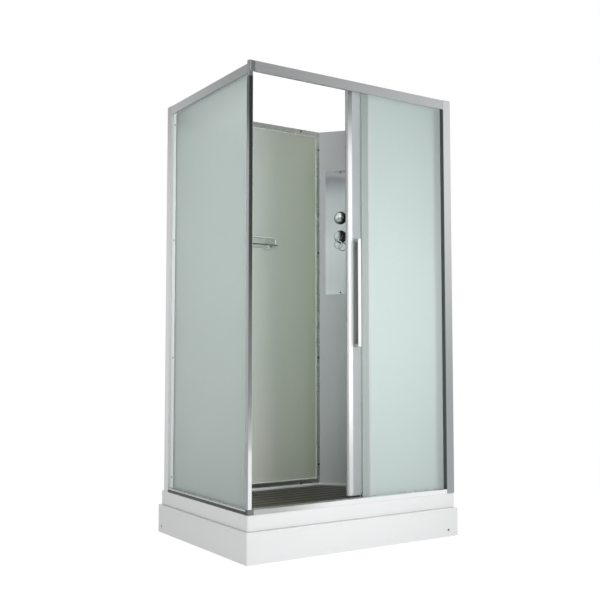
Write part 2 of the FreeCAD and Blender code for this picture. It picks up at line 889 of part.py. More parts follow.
side_glass_y0 = front_y + corner_d - 8
side_glass_y1 = back_post_y0 + glass_bite
side_glass_z0 = rim_z + wall_t + 2
side_glass_z1 = left_z1 - wall_t - 6
fixed_glass_z0 = rim_z + wall_t + 2
fixed_glass_z1 = rail_z1 - wall_t - 6
fixed_glass_x0 = fixed_left + fixed_seal_t

save("side_glass", box(side_x0, side_x1, side_glass_y0, side_glass_y1, side_glass_z0, side_glass_z1))
save("fixed_glass", box(fixed_glass_x0, fixed_right, front_y0, front_y1, fixed_glass_z0, fixed_glass_z1))


def make_gaskets():
    bead = 1.5
    deep = 10.0
    lip_y0 = back_post_y0 - lip_reach + lip_end_gap
    lip_x0 = right_post_x0 - lip_reach + lip_end_gap
    fixed_x0 = fixed_left + fixed_seal_w + 2
    side_y0 = front_y + corner_d + 1
    strips = [
        box(side_x1, channel_x1, lip_y0, back_post_y0 - 1, left_sill_z1 + 3, left_z0 - 3),
        box(channel_x0, side_x0, side_y0, back_post_y0 - 1, left_z0 - bead, left_z0 + deep),
        box(channel_x0, side_x0, side_y0, back_post_y0 - 1, left_sill_z1 - deep, left_sill_z1 + bead),
        box(lip_x0, right_post_x0 - 1, front_y1, channel_y1, sill_z1 + 3, rail_z0 - 3),
        box(fixed_x0, right_post_x0 - 1, channel_y0, front_y0, rail_in_z - bead, rail_in_z + deep),
        box(fixed_x0, right_post_x0 - 1, channel_y0, front_y0, sill_z1 - deep, sill_z1 + bead),
    ]
    return strips


def make_fixed_seal():
    t = fixed_seal_t
    z0, z1 = sill_z1 + lip_end_gap, rail_in_z - lip_end_gap
    x1 = fixed_left + fixed_seal_w
    strip = box(fixed_left, x1, front_y0 - t, front_y1 + t, z0, z1)
    strip = strip.cut(box(fixed_glass_x0, x1 + 1, front_y0, front_y1, z0, z1))
    wiper_z0 = bottom_hub_z + hub_cap_r + 10
    wiper = box(fixed_left, fixed_left + t, front_y1, door_y0 - roll_gap, wiper_z0, z1)
    bead_y0 = front_y0 - t - fixed_seal_rise
    bead = box(x1 - fixed_seal_bead, x1, bead_y0, front_y0 - t, z0, z1)

    def crest(edge):
        return is_upright(edge) and abs(edge.BoundBox.YMin - bead_y0) < 0.1
    return fuse([strip, wiper, round_edges(bead, fixed_seal_rise * 0.8, crest)])


save("glass_gaskets", make_gaskets())
save("fixed_edge_seal", make_fixed_seal())


# Back walls: glass in grooved aluminium frames on the tray's ledge

def make_wall(along, across0, start, end):
    """Frame and glass of one wall. along is V(1,0,0) or V(0,1,0), across0 is its inner face."""
    lie_x = along.x > 0.5

    def block(a0, a1, c0, c1, z0, z1):
        if lie_x:
            return box(a0, a1, c0, c1, z0, z1)
        return box(c0, c1, a0, a1, z0, z1)
    c0, c1 = across0, across0 + wall_d
    middle = (c0 + c1) / 2
    g0, g1 = middle - glass_t / 2, middle + glass_t / 2
    z0, z1 = ledge_z, wall_top_z
    low, high = z0 + wall_rail_bottom_h, z1 - wall_rail_top_h
    a_in, b_in = start + stile_w, end - stile_w
    t = wall_t
    slot = block(a_in - groove_depth, b_in + groove_depth, g0 - groove_gap, g1 + groove_gap,
                 low - groove_depth, high + groove_depth)
    bars = []
    for a0, a1, core0, core1 in ((start, a_in, start + t, a_in - groove_depth - t),
                                 (b_in, end, b_in + groove_depth + t, end - t)):
        core = block(core0, core1, c0 + t, c1 - t, z0, z1)
        bars.append(block(a0, a1, c0, c1, z0, z1).cut(slot).cut(core))
    for b0, b1, core0, core1 in ((z0, low, z0 + t, low - groove_depth - t),
                                 (high, z1, high + groove_depth + t, z1 - t)):
        core = block(a_in, b_in, c0 + t, c1 - t, core0, core1)
        bars.append(block(a_in, b_in, c0, c1, b0, b1).cut(slot).cut(core))
    bite = groove_depth - 1
    pane = block(a_in - bite, b_in + bite, g0, g1, low - bite, high + bite)
    return bars, pane


def wall_screw_places():
    """Head point, direction and length of every screw in the walls and post lips."""
    back, right = V(0, 1, 0), V(1, 0, 0)
    long_screw = wall_d + column_t
    places = []
    for z in wall_screw_z:
        places.append((V(column_x - wall_screw_edge, wall_front_y, z), back, long_screw))
        places.append((V(left_rail_x1 + wall_screw_edge, wall_front_y, z), back, wall_d / 2))
        places.append((V(right_wall_x, right_wall_y1 - wall_screw_edge, z), right, long_screw))
        places.append((V(right_wall_x, right_wall_y0 + wall_screw_edge, z), right, wall_d / 2))
    for z in (ledge_z + 10, wall_top_z - 10):
        for x in (left_rail_x1 + wall_screw_end, column_x - wall_screw_end):
            places.append((V(x, wall_front_y, z), back, wall_d / 2))
        for y in (right_wall_y0 + wall_screw_end, right_wall_y1 - wall_screw_end):
            places.append((V(right_wall_x, y, z), right, wall_d / 2))
    return places


def clamp_screw_places():
    front, left = V(0, -1, 0), V(-1, 0, 0)
    places = []
    for z in wall_screw_z:
        places.append((V(right_post_x0 - lip_reach / 2, channel_y1 + lip_t, z), front, lip_t))
        places.append((V(channel_x1 + lip_t, back_post_y0 - lip_reach / 2, z), left, lip_t))
    return places


def drilled(shapes, places):
    holes = [rod(point - direction, direction, length + 1.5, screw_r + screw_gap)
             for point, direction, length in places]
    return [shape.cut(holes) for shape in shapes]


back_bars, back_pane = make_wall(V(1, 0, 0), wall_front_y, left_rail_x1, column_x)
right_bars, right_pane = make_wall(V(0, 1, 0), right_wall_x, right_wall_y0, right_wall_y1)
screw_places = wall_screw_places()
save("back_wall_frame", drilled(back_bars, screw_places))
save("back_glass", back_pane)
save("right_wall_frame", drilled(right_bars, screw_places))
save("right_glass", right_pane)
save("wall_screws", [pan_screw(*place) for place in screw_places + clamp_screw_places()])


# Corner column: folded panel across the back right corner, with the polished control plate

def make_column():
    z0, z1 = ledge_z, wall_top_z
    t = column_t
    face = slab_on_column(0, column_face, -t, 0, z0, z1)
    x_web = column_x
    back_web = box(x_web, x_web + t, wall_front_y - 1, wall_back_y + t, z0, z1)
    back_flange = box(x_web - column_flange, x_web + t, wall_back_y, wall_back_y + t, z0, z1)
    y_web = right_wall_y1
    right_web = box(column_end.x, right_wall_x1 + t, y_web, y_web + t, z0, z1)
    right_flange = box(right_wall_x1, right_wall_x1 + t, y_web - column_flange, y_web + t, z0, z1)
    panel = fuse([face, back_web, back_flange, right_web, right_flange])
    holes = [hole(plate_u, z, radius) for z, radius in valve_holes()]
    holes += [hole(plate_u, z, screw_r + screw_gap) for z in plate_screw_z()]
    holes.append(hole(plate_u + hose_outlet_u, hose_outlet_z, nipple_r + valve_gap))
    return drilled([panel.cut(holes)], screw_places)[0]


def hole(u, z, radius):
    return rod(on_column(u, -3 * column_t, z), face_n, 6 * column_t, radius)


def valve_holes():
    return ((diverter_z, spindle_r + valve_gap), (mixer_z, mixer_body_r + valve_gap))


def plate_screw_z():
    return (plate_z + plate_screw_inset, plate_z + plate_h - plate_screw_inset)


def make_plate():
    u0, u1 = plate_u - plate_w / 2, plate_u + plate_w / 2
    plate = slab_on_column(u0, u1, 0, plate_t, plate_z, plate_z + plate_h)
    holes = [hole(plate_u, z, radius) for z, radius in valve_holes()]
    holes += [hole(plate_u, z, screw_r + screw_gap) for z in plate_screw_z()]
    holes.append(hole(plate_u + hose_outlet_u, hose_outlet_z, nipple_r + valve_gap))
    return plate.cut(holes)


save("column_panel", make_column())
save("control_plate", make_plate())
save("plate_screws", [pan_screw(on_column(plate_u, plate_t, z), face_n * -1, plate_t + column_t + 4)
                      for z in plate_screw_z()])


# Valves: bodies behind the panel, rosettes on the plate, knob, dome and ring lever in front

def make_rosette(z, bore):
    at = on_column(plate_u, plate_t, z)
    profile = [(0, bore), (0, rosette_r), (rosette_t * 0.4, rosette_r),
               (rosette_t, rosette_r - 5), (rosette_t, bore)]
    return turned(profile, at, face_n)


def back_union(z, side):
    """Side arm of a valve body that turns to the back and ends in a thread: its outside and its bore."""
    axis = on_column(plate_u, valve_n, z)
    elbow = axis + side * arm_reach
    back = face_n * -1
    arm = rod(axis, side, arm_reach + arm_r, arm_r)
    shoulder = arm_r + nipple_collar_l
    collar = rod(elbow, back, shoulder, nipple_collar_r)
    thread = rod(elbow, back, shoulder + nipple_l, nipple_r)
    bore = rod(elbow + back * (arm_r - 3), back, nipple_collar_l + nipple_l + 9, nipple_bore_r)
    return arm.multiFuse([collar, thread]), bore


def side_union(z, n, direction, body_r):
    """Threaded outlet on a round valve body: its outside and its bore."""
    axis = on_column(plate_u, n, z)
    shoulder = body_r + nipple_collar_l
    collar = rod(axis, direction, shoulder, nipple_collar_r)
    thread = rod(axis, direction, shoulder + nipple_l, nipple_r)
    bore = rod(axis + direction * (body_r - 3), direction, nipple_l + 9, nipple_bore_r)
    return collar.fuse(thread), bore


valve_n = -column_t - diverter_body_l / 2


def make_diverter():
    back = -column_t - diverter_body_l
    body = rod(on_column(plate_u, back, diverter_z), face_n, diverter_body_l, diverter_body_r)
    spindle_out = column_t + plate_t + spindle_l
    spindle = rod(on_column(plate_u, -column_t, diverter_z), face_n, spindle_out, spindle_r)
    unions = [side_union(diverter_z, valve_n, face_u, diverter_body_r), back_union(diverter_z, face_u * -1)]
    solid = fuse([body, spindle] + [outer for outer, _ in unions])
    return solid.cut([bore for _, bore in unions])


def make_mixer_body():
    back = -column_t - mixer_body_l
    flange = rod(on_column(plate_u, back, mixer_z), face_n, mixer_body_l, mixer_flange_r)
    nose_l = column_t + plate_t + mixer_nose
    nose = rod(on_column(plate_u, -column_t, mixer_z), face_n, nose_l, mixer_body_r)
    spindle = rod(on_column(plate_u, -column_t, mixer_z), face_n, nose_l + cartridge_l, cartridge_r)
    unions = [back_union(mixer_z, side) for side in (face_u, face_u * -1)]
    solid = fuse([flange, nose, spindle] + [outer for outer, _ in unions])
    return solid.cut([bore for _, bore in unions])


def make_link_pipe():
    pipe = rod(on_column(plate_u, valve_n, mixer_z), V(0, 0, 1), diverter_z - mixer_z, pipe_r)
    back = -column_t - mixer_body_l - 1
    mixer = rod(on_column(plate_u, back, mixer_z), face_n, mixer_body_l + 2, mixer_flange_r)
    diverter = rod(on_column(plate_u, back, diverter_z), face_n, mixer_body_l + 2, diverter_body_r)
    return pipe.cut([mixer, diverter])


def make_outlet_pipe():
    """Bent tube from the diverter's right union down to the tail of the hose outlet."""
    start_u = plate_u + diverter_body_r + nipple_collar_l + nipple_l
    run_u = plate_u + pipe_offset
    end_u = plate_u + hose_outlet_u
    r = pipe_bend_r
    k = r * (1 - math.sqrt(0.5))
    z1, z0 = diverter_z, hose_outlet_z

    def at(u, z):
        return on_column(u, valve_n, z)
    path = Part.Wire([
        Part.LineSegment(at(start_u, z1), at(run_u - r, z1)).toShape(),
        Part.Arc(at(run_u - r, z1), at(run_u - k, z1 - k), at(run_u, z1 - r)).toShape(),
        Part.LineSegment(at(run_u, z1 - r), at(run_u, z0 + r)).toShape(),
        Part.Arc(at(run_u, z0 + r), at(run_u - k, z0 + k), at(run_u - r, z0)).toShape(),
        Part.LineSegment(at(run_u - r, z0), at(end_u, z0)).toShape()])
    ring = Part.Wire(Part.makeCircle(pipe_r, at(start_u, z1), face_u))
    tail = rod(on_column(end_u, -2 * mixer_body_l, z0), face_n, 2 * mixer_body_l, nipple_r)
    return path.makePipeShell([ring], True, False).cut(tail)


def make_hose_outlet():
    at = on_column(plate_u + hose_outlet_u, 0, hose_outlet_z)
    n = face_n
    face = plate_t + hose_flange_t
    flange = turned([(plate_t, 0), (plate_t, hose_flange_r), (plate_t + hose_flange_t * 0.4, hose_flange_r),
                     (face, hose_flange_r - 6), (face, 0)], at, n)
    tail_l = nipple_r + 2 - valve_n
    tail = rod(at - n * tail_l, n, tail_l + plate_t, nipple_r)
    collar = rod(at + n * plate_t, n, hose_flange_t + hose_collar_l, nipple_collar_r)
    thread = rod(at + n * plate_t, n, hose_flange_t + hose_collar_l + hose_thread_l, nipple_r)
    bore = rod(at + n * (face + hose_collar_l - 6), n, hose_thread_l + 8, nipple_bore_r)
    return fuse([flange, tail, collar, thread]).cut(bore)


def make_knob():
    at = on_column(plate_u, plate_t + rosette_t + run_gap, diverter_z)
    r = knob_r
    end = knob_l
    profile = [(0, spindle_r + thread_gap), (0, r - 3), (4, r), (end - 8, r), (end - 2, r - 4), (end, r - 8),
               (end - 2, 0), (spindle_l - rosette_t - run_gap + 1, 0),
               (spindle_l - rosette_t - run_gap + 1, spindle_r + thread_gap)]
    return turned(profile, at, face_n)


dome_n0 = plate_t + mixer_nose + run_gap
pivot_n = dome_n0 + dome_l / 2
pivot_z = mixer_z - lever_pivot_drop


def make_dome():
    at = on_column(plate_u, dome_n0, mixer_z)
    profile = [(0, 0), (0, dome_r), (dome_l - 4, dome_r), (dome_l - 1, dome_r - 2),
               (dome_l, dome_r - 5), (dome_l, 0)]
    dome = turned(profile, at, face_n)
    half = lever_tongue_w / 2 + run_gap
    slot = slab_on_column(plate_u - half, plate_u + half, dome_n0 + 3, dome_n0 + dome_l + 1,
                          mixer_z - dome_r - 1, pivot_z + lever_tongue_t / 2 + 2)
    pin = rod(on_column(plate_u - half - 5, pivot_n, pivot_z), face_u, 2 * half + 10, lever_pin_r + axle_gap)
    socket = rod(at, face_n, cartridge_l - run_gap + 1, cartridge_r + axle_gap)
    return dome.cut(slot).cut(pin).cut(socket)


def make_lever():
    half = lever_tongue_w / 2
    centre_z = mixer_z - lever_drop
    r = lever_bar_r
    c = r * math.tan(math.pi / 8)
    section = [(-c, -r), (c, -r), (r, -c), (r, c), (c, r), (-c, r), (-r, c), (-r, -c)]
    centre = on_column(plate_u, pivot_n, centre_z)
    ring = turned([(along, lever_ring_r + out) for along, out in section], centre, face_n)
    tongue_z0 = centre_z + lever_ring_r
    thick = lever_tongue_t / 2
    tongue = slab_on_column(plate_u - half, plate_u + half, pivot_n - thick, pivot_n + thick,
                            tongue_z0, pivot_z)
    barrel = rod(on_column(plate_u - half, pivot_n, pivot_z), face_u, lever_tongue_w, thick + run_gap)
    pin = rod(on_column(plate_u - half - 4, pivot_n, pivot_z), face_u, lever_tongue_w + 8, lever_pin_r)
    return fuse([ring, tongue, barrel, pin])


save("diverter_valve", make_diverter())
save("mixer_body", make_mixer_body())
save("rosettes", [make_rosette(diverter_z, spindle_r + valve_gap),
                  make_rosette(mixer_z, mixer_body_r + fit_gap)])
save("water_pipes", [make_link_pipe(), make_outlet_pipe()])
save("hose_outlet", make_hose_outlet())
save("diverter_knob", make_knob())
save("mixer_dome", make_dome())
save("mixer_lever", make_lever())


# Shelf on the back wall: glass on two brackets with a bent gallery rail

shelf_right_x = column_x - shelf_clear
shelf_x0 = shelf_right_x - shelf_w
pane_y = wall_front_y + (wall_d - glass_t) / 2
shelf_y0 = pane_y - shelf_d
shelf_z0 = shelf_z - shelf_t


def make_shelf_glass():
    glass = box(shelf_x0, shelf_right_x, shelf_y0, pane_y, shelf_z0, shelf_z)

    def front_corner(edge):
        return is_upright(edge) and abs(edge.BoundBox.YMin - shelf_y0) < 0.1
    return round_edges(glass, shelf_corner_r, front_corner)


def make_gallery():
    x0, x1 = shelf_x0 + gallery_inset, shelf_right_x - gallery_inset
    y0, y1 = shelf_y0 + gallery_inset, pane_y
    z = shelf_z + gallery_rise
    r = gallery_bend_r
    k = r * (1 - math.sqrt(0.5))
    edges = [Part.LineSegment(V(x0, y1, z), V(x0, y0 + r, z)).toShape(),
             Part.Arc(V(x0, y0 + r, z), V(x0 + k, y0 + k, z), V(x0 + r, y0, z)).toShape(),
             Part.LineSegment(V(x0 + r, y0, z), V(x1 - r, y0, z)).toShape(),
             Part.Arc(V(x1 - r, y0, z), V(x1 - k, y0 + k, z), V(x1, y0 + r, z)).toShape(),
             Part.LineSegment(V(x1, y0 + r, z), V(x1, y1, z)).toShape()]
    path = Part.Wire(edges)
    ring = Part.Wire(Part.makeCircle(gallery_r, V(x0, y1, z), V(0, -1, 0)))
    rail = path.makePipeShell([ring], True, False)
    posts = [rod(V(x, y0 + r, shelf_z), V(0, 0, 1), gallery_rise, gallery_r - 1) for x in (x0, x1)]
    posts.append(rod(V((x0 + x1) / 2, y0, shelf_z), V(0, 0, 1), gallery_rise, gallery_r - 1))
    seats = [rod(V(x, y1 - gallery_rosette_t, z), V(0, 1, 0), gallery_rosette_t, gallery_rosette_r)
             for x in (x0, x1)]
    return fuse([rail] + posts + seats)


def make_bracket(x):
    arm_l = shelf_d * 0.6
    z = shelf_z0 - bracket_r
    rosette = rod(V(x, pane_y - gallery_rosette_t, z), V(0, 1, 0), gallery_rosette_t, bracket_rosette_r)
    arm = rod(V(x, pane_y - arm_l, z), V(0, 1, 0), arm_l, bracket_r)
    saddle = box(x - bracket_r, x + bracket_r, pane_y - arm_l, pane_y - gallery_rosette_t, z, shelf_z0)
    under = rosette.cut(box(x - 30, x + 30, pane_y - 30, pane_y + 30, shelf_z0, shelf_z0 + 30))
    return fuse([under, arm, saddle])


save("shelf_glass", make_shelf_glass())
save("shelf_gallery", make_gallery())
save("shelf_brackets", [make_bracket(shelf_x0 + bracket_inset), make_bracket(shelf_right_x - bracket_inset)])


# Door: glass leaf with an edge profile, seals, channel handle and four roller hubs

door_glass_x0 = edge_x + edge_seal_w + edge_profile_w - edge_slot + 1
door_glass_x1 = trail_x - trail_seal_t
handle_x0 = edge_x + handle_offset
handle_x1 = handle_x0 + handle_w
handle_y0 = door_y0 - handle_d
handle_top = handle_bottom + handle_length
bolt_x = (handle_x0 + handle_x1 - handle_wall) / 2
bolt_z = (handle_bottom + handle_bolt_inset, handle_top - handle_bolt_inset)


def make_door_glass():
    glass = box(door_glass_x0, door_glass_x1, door_y0, door_y1, door_bottom_z, door_top_z)
    back = V(0, 1, 0)
    holes = [rod(V(x, door_y0 - 1, z), back, glass_t + 2, hub_hole_r)
             for x in roller_x for z in (top_wheel_z, bottom_hub_z)]
    holes += [rod(V(bolt_x, door_y0 - 1, z), back, glass_t + 2, handle_bolt_r + screw_gap) for z in bolt_z]
    return glass.cut(holes)


def make_edge_profile():
    x0 = edge_x + edge_seal_w
    x1 = x0 + edge_profile_w
    middle = (door_y0 + door_y1) / 2
    y0, y1 = middle - edge_profile_d / 2, middle + edge_profile_d / 2
    z0, z1 = edge_profile_bottom, edge_profile_top
    bar = round_edges(box(x0, x1, y0, y1, z0, z1), edge_profile_r, is_upright)
    slot = box(x1 - edge_slot, x1 + 1, door_y0 - fit_gap, door_y1 + fit_gap, z0, z1)
    keyway = box(x0 - 1, x0 + 3, middle - 2 - fit_gap, middle + 2 + fit_gap, z0, z1)
    return bar.cut(slot).cut(keyway)


def make_edge_seal():
    middle = (door_y0 + door_y1) / 2
    half = edge_seal_d / 2
    x1 = edge_x + edge_seal_w
    nose = box(edge_x, x1, middle - half, middle + half, edge_profile_bottom, edge_profile_top)

    def front(edge):
        return is_upright(edge) and abs(edge.BoundBox.XMin - edge_x) < 0.1
    nose = round_edges(nose, 3.0, front)
    key = box(x1 - 1, x1 + 2.5, middle - 2, middle + 2, edge_profile_bottom, edge_profile_top)
    return fuse([nose, key])


def make_trail_seal():
    t = trail_seal_t
    strip = box(trail_x - trail_seal_w, trail_x, door_y0 - t, door_y1 + t, trail_seal_bottom, trail_seal_top)
    slot_x0 = trail_x - trail_seal_w - 1
    return strip.cut(box(slot_x0, door_glass_x1, door_y0, door_y1, trail_seal_bottom, trail_seal_top))


def make_handle():
    bar = box(handle_x0, handle_x1, handle_y0, door_y0, handle_bottom, handle_top)
    bar = round_edges(bar, handle_edge_r, is_upright)
    w = handle_wall
    bar = bar.cut(box(handle_x0 - 1, handle_x1 - w, handle_y0 + w, door_y0 - w, handle_bottom, handle_top))
    holes = [rod(V(bolt_x, door_y0 - w - 1, z), V(0, 1, 0), w + 2, handle_bolt_r + screw_gap) for z in bolt_z]
    holes += [rod(V(handle_x1 + 1, handle_y0 + handle_d / 2, z), V(-1, 0, 0), w + 2, screw_r + screw_gap)
              for z in handle_screw_z()]
    return bar.cut(holes)


def handle_screw_z():
    return (handle_bottom + handle_cap_t / 2, handle_top - handle_cap_t / 2)


def make_handle_caps():
    w = handle_wall
    caps = []
    for z0, screw_z in zip((handle_bottom, handle_top - handle_cap_t), handle_screw_z()):
        cap = box(handle_x0, handle_x1 - w, handle_y0 + w, door_y0 - w, z0, z0 + handle_cap_t)
        drill = rod(V(handle_x1, handle_y0 + handle_d / 2, screw_z), V(-1, 0, 0), w + 9, screw_r + screw_gap)
        caps.append(cap.cut(drill))
    return caps


def make_handle_screws():
    screws = [pan_screw(V(handle_x1, handle_y0 + handle_d / 2, z), V(-1, 0, 0), handle_wall + 6)
              for z in handle_screw_z()]
    for z in bolt_z:
        head = rod(V(bolt_x, door_y0 - handle_wall - 3, z), V(0, 1, 0), 3, handle_bolt_r * 1.8)
        shank = rod(V(bolt_x, door_y0 - handle_wall, z), V(0, 1, 0), handle_wall + glass_t + 1, handle_bolt_r)
        nut = rod(V(bolt_x, door_y1, z), V(0, 1, 0), 6, handle_bolt_r * 2.2)
        screws.append(fuse([head, shank, nut]))
    return screws


save("door_glass", make_door_glass())
save("door_edge_profile", make_edge_profile())
save("door_edge_seal", make_edge_seal())
save("door_trailing_seal", make_trail_seal())
save("door_handle", make_handle())
save("handle_end_caps", make_handle_caps())
save("handle_screws", make_handle_screws())


# Rollers: hubs clamped through the door glass carry grooved wheels that run on the rails' ribs

washer_y1 = door_y1 + hub_washer_t
axle_end = wheel_y1 + axle_gap + 0.2
keeper_t = 1.2


def hub_profile(washer_r):
    return [(-hub_cap_t, 0), (-hub_cap_t, hub_cap_r - 2), (-0.8, hub_cap_r), (0, hub_cap_r),
            (0, hub_sleeve_r), (glass_t, hub_sleeve_r), (glass_t, washer_r), (washer_y1 - door_y0, washer_r)]


def axle_profile(base):
    end = axle_end - door_y0
    keeper_r = axle_r + 1.5
    return [(base, axle_r), (end, axle_r), (end, keeper_r), (end + keeper_t, keeper_r), (end + keeper_t, 0)]


def make_top_hub(x):
    start = V(x, door_y0, top_wheel_z)
    base = washer_y1 - door_y0
    return turned(hub_profile(hub_washer_r) + axle_profile(base), start, V(0, 1, 0))


def make_bottom_hub(x):
    start = V(x, door_y0, bottom_hub_z)
    base = washer_y1 - door_y0
    clamp = turned(hub_profile(hub_washer_r) + [(base, 0)], start, V(0, 1, 0))
    half = bracket_w / 2
    plate = box(x - half, x + half, door_y1, washer_y1, bottom_wheel_z - 6, bottom_hub_z + 12)
    plate = plate.makeFillet(5.0, [e for e in plate.Edges if abs(e.tangentAt(e.FirstParameter).y) > 0.99])
    stub = [(base - 1, 0), (base - 1, axle_r)] + axle_profile(base)
    axle = turned(stub, V(x, door_y0, bottom_wheel_z), V(0, 1, 0))
    return fuse([clamp, plate, axle])


def make_wheel(x, z, outer, root):
    groove = rib_t / 2 + rib_gap
    half = wheel_w / 2
    bore = axle_r + axle_gap
    profile = [(-half, bore), (-half, outer - 1), (-half + 1, outer), (-groove - 1, outer), (-groove, root),
               (groove, root), (groove + 1, outer), (half - 1, outer), (half, outer - 1), (half, bore)]
    return turned(profile, V(x, track_y, z), V(0, 1, 0))


save("top_roller_hubs", [make_top_hub(x) for x in roller_x])
save("bottom_roller_hubs", [make_bottom_hub(x) for x in roller_x])
for place, x in zip(("leading", "trailing"), roller_x):
    save("top_roller_" + place, make_wheel(x, top_wheel_z, top_wheel_r, top_root_r))
    save("bottom_roller_" + place, make_wheel(x, bottom_wheel_z, bottom_wheel_r, bottom_root_r))


# Door stops: rubber blocks pushed over the top rail's rib at both ends of the travel

def make_stop(x0):
    block = box(x0, x0 + stop_length, wheel_y0, wheel_y1, rail_in_z + wall_t, top_wheel_z + 6)
    rib = box(x0 - 1, x0 + stop_length + 1, track_y - rib_t / 2, track_y + rib_t / 2, rail_in_z, top_rib_top)
    return block.cut(rib)


open_stop_x = roller_x[1] + top_wheel_r + stop_gap
closed_stop_x = roller_x[0] - door_travel - top_wheel_r - stop_gap - stop_length
save("door_stops", [make_stop(open_stop_x), make_stop(closed_stop_x)])

print("door width", round(door_width, 2), "travel", round(door_travel, 2), "edge at rest", round(edge_x, 2))
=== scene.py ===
import math

import bmesh
import bpy
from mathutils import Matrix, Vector


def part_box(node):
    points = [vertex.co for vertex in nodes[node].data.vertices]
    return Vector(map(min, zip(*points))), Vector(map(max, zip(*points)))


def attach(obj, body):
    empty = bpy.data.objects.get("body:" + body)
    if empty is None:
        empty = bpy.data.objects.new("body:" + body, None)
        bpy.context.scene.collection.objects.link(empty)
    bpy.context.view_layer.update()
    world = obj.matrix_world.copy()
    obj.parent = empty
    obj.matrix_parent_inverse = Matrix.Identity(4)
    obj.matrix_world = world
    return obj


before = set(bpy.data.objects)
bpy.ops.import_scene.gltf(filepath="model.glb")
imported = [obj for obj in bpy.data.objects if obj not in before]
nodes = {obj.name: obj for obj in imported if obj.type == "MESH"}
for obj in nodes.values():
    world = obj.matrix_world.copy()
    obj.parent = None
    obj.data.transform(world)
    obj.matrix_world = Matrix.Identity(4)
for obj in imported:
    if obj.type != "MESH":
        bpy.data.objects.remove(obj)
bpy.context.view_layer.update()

# Tray and apron: vacuum-formed white acrylic, the tray backed with glass fibre and the apron
# clipped in front of the support frame with a screw at each end.
# The sheet is glossy, with a faint orange peel.


def new_finish(name):
    """Empty node material, with its tree and its Principled shader."""
    finish = bpy.data.materials.new(name)
    finish.use_nodes = True
    tree = finish.node_tree
    return finish, tree, tree.nodes["Principled BSDF"]


def dress(finish, *names):
    """Gives CAD nodes a finish as their only material."""
    for name in names:
        slots = nodes[name].data.materials
        slots.clear()
        slots.append(finish)


def feed(tree, socket, value):
    """Links an output to a socket, or sets the socket to a plain value."""
    if isinstance(value, bpy.types.NodeSocket):
        tree.links.new(value, socket)
    else:
        socket.default_value = value


def maths(tree, operation, *values):
    """Math node on outputs or numbers."""
    node = tree.nodes.new("ShaderNodeMath")
    node.operation = operation
    for socket, value in zip(node.inputs, values):
        feed(tree, socket, value)
    return node.outputs["Value"]


# Places of a Mix node's first, second and result sockets, by the kind of data.
MIX_SOCKETS = {"RGBA": (6, 7, 2), "FLOAT": (2, 3, 0)}


def blend(tree, share, first, second, kind="RGBA"):
    """Mix node that goes from one colour or number to another as the share goes from 0 to 1."""
    node = tree.nodes.new("ShaderNodeMix")
    node.data_type = kind
    first_socket, second_socket, result = MIX_SOCKETS[kind]
    feed(tree, node.inputs["Factor"], share)
    feed(tree, node.inputs[first_socket], first)
    feed(tree, node.inputs[second_socket], second)
    return node.outputs[result]


def uneven_group():
    """Slow and fine unevenness: a colour drift, a roughness drift and a height for the bump."""
    group = bpy.data.node_groups.new("uneven surface", "ShaderNodeTree")
    face = group.interface
    for label, kind, value in (("Color", "NodeSocketColor", (0.8, 0.8, 0.8, 1)),
                               ("Drift Color", "NodeSocketColor", (0.7, 0.7, 0.7, 1)),
                               ("Stretch", "NodeSocketVector", (1, 1, 1)),
                               ("Slow Scale", "NodeSocketFloat", 4.0),
                               ("Fine Scale", "NodeSocketFloat", 200.0),
                               ("Rough Low", "NodeSocketFloat", 0.2),
                               ("Rough High", "NodeSocketFloat", 0.3)):
        socket = face.new_socket(label, in_out="INPUT", socket_type=kind)
        socket.default_value = value
    for label, kind in (("Color", "NodeSocketColor"),
                        ("Roughness", "NodeSocketFloat"),
                        ("Height", "NodeSocketFloat")):
        face.new_socket(label, in_out="OUTPUT", socket_type=kind)
    add, link = group.nodes.new, group.links.new
    start, end = add("NodeGroupInput"), add("NodeGroupOutput")
    place = add("ShaderNodeTexCoord")
    stretched = add("ShaderNodeVectorMath")
    stretched.operation = "MULTIPLY"
    link(place.outputs["Object"], stretched.inputs[0])
    link(start.outputs["Stretch"], stretched.inputs[1])
    slow, fine = add("ShaderNodeTexNoise"), add("ShaderNodeTexNoise")
    slow.inputs["Detail"].default_value = 4.0
    fine.inputs["Detail"].default_value = 3.0
    for noise, label in ((slow, "Slow Scale"), (fine, "Fine Scale")):
        link(stretched.outputs["Vector"], noise.inputs["Vector"])
        link(start.outputs[label], noise.inputs["Scale"])
    drift = blend(group, slow.outputs["Fac"], start.outputs["Color"], start.outputs["Drift Color"])
    slow_half = maths(group, "MULTIPLY", slow.outputs["Fac"], 0.5)
    mean = maths(group, "MULTIPLY_ADD", fine.outputs["Fac"], 0.5, slow_half)
    rough = add("ShaderNodeMapRange")
    rough.inputs["From Min"].default_value = 0.3
    rough.inputs["From Max"].default_value = 0.7
    link(mean, rough.inputs["Value"])
    link(start.outputs["Rough Low"], rough.inputs["To Min"])
    link(start.outputs["Rough High"], rough.inputs["To Max"])
    link(drift, end.inputs["Color"])
    link(rough.outputs["Result"], end.inputs["Roughness"])
    link(fine.outputs["Fac"], end.inputs["Height"])
    return group


uneven = uneven_group()


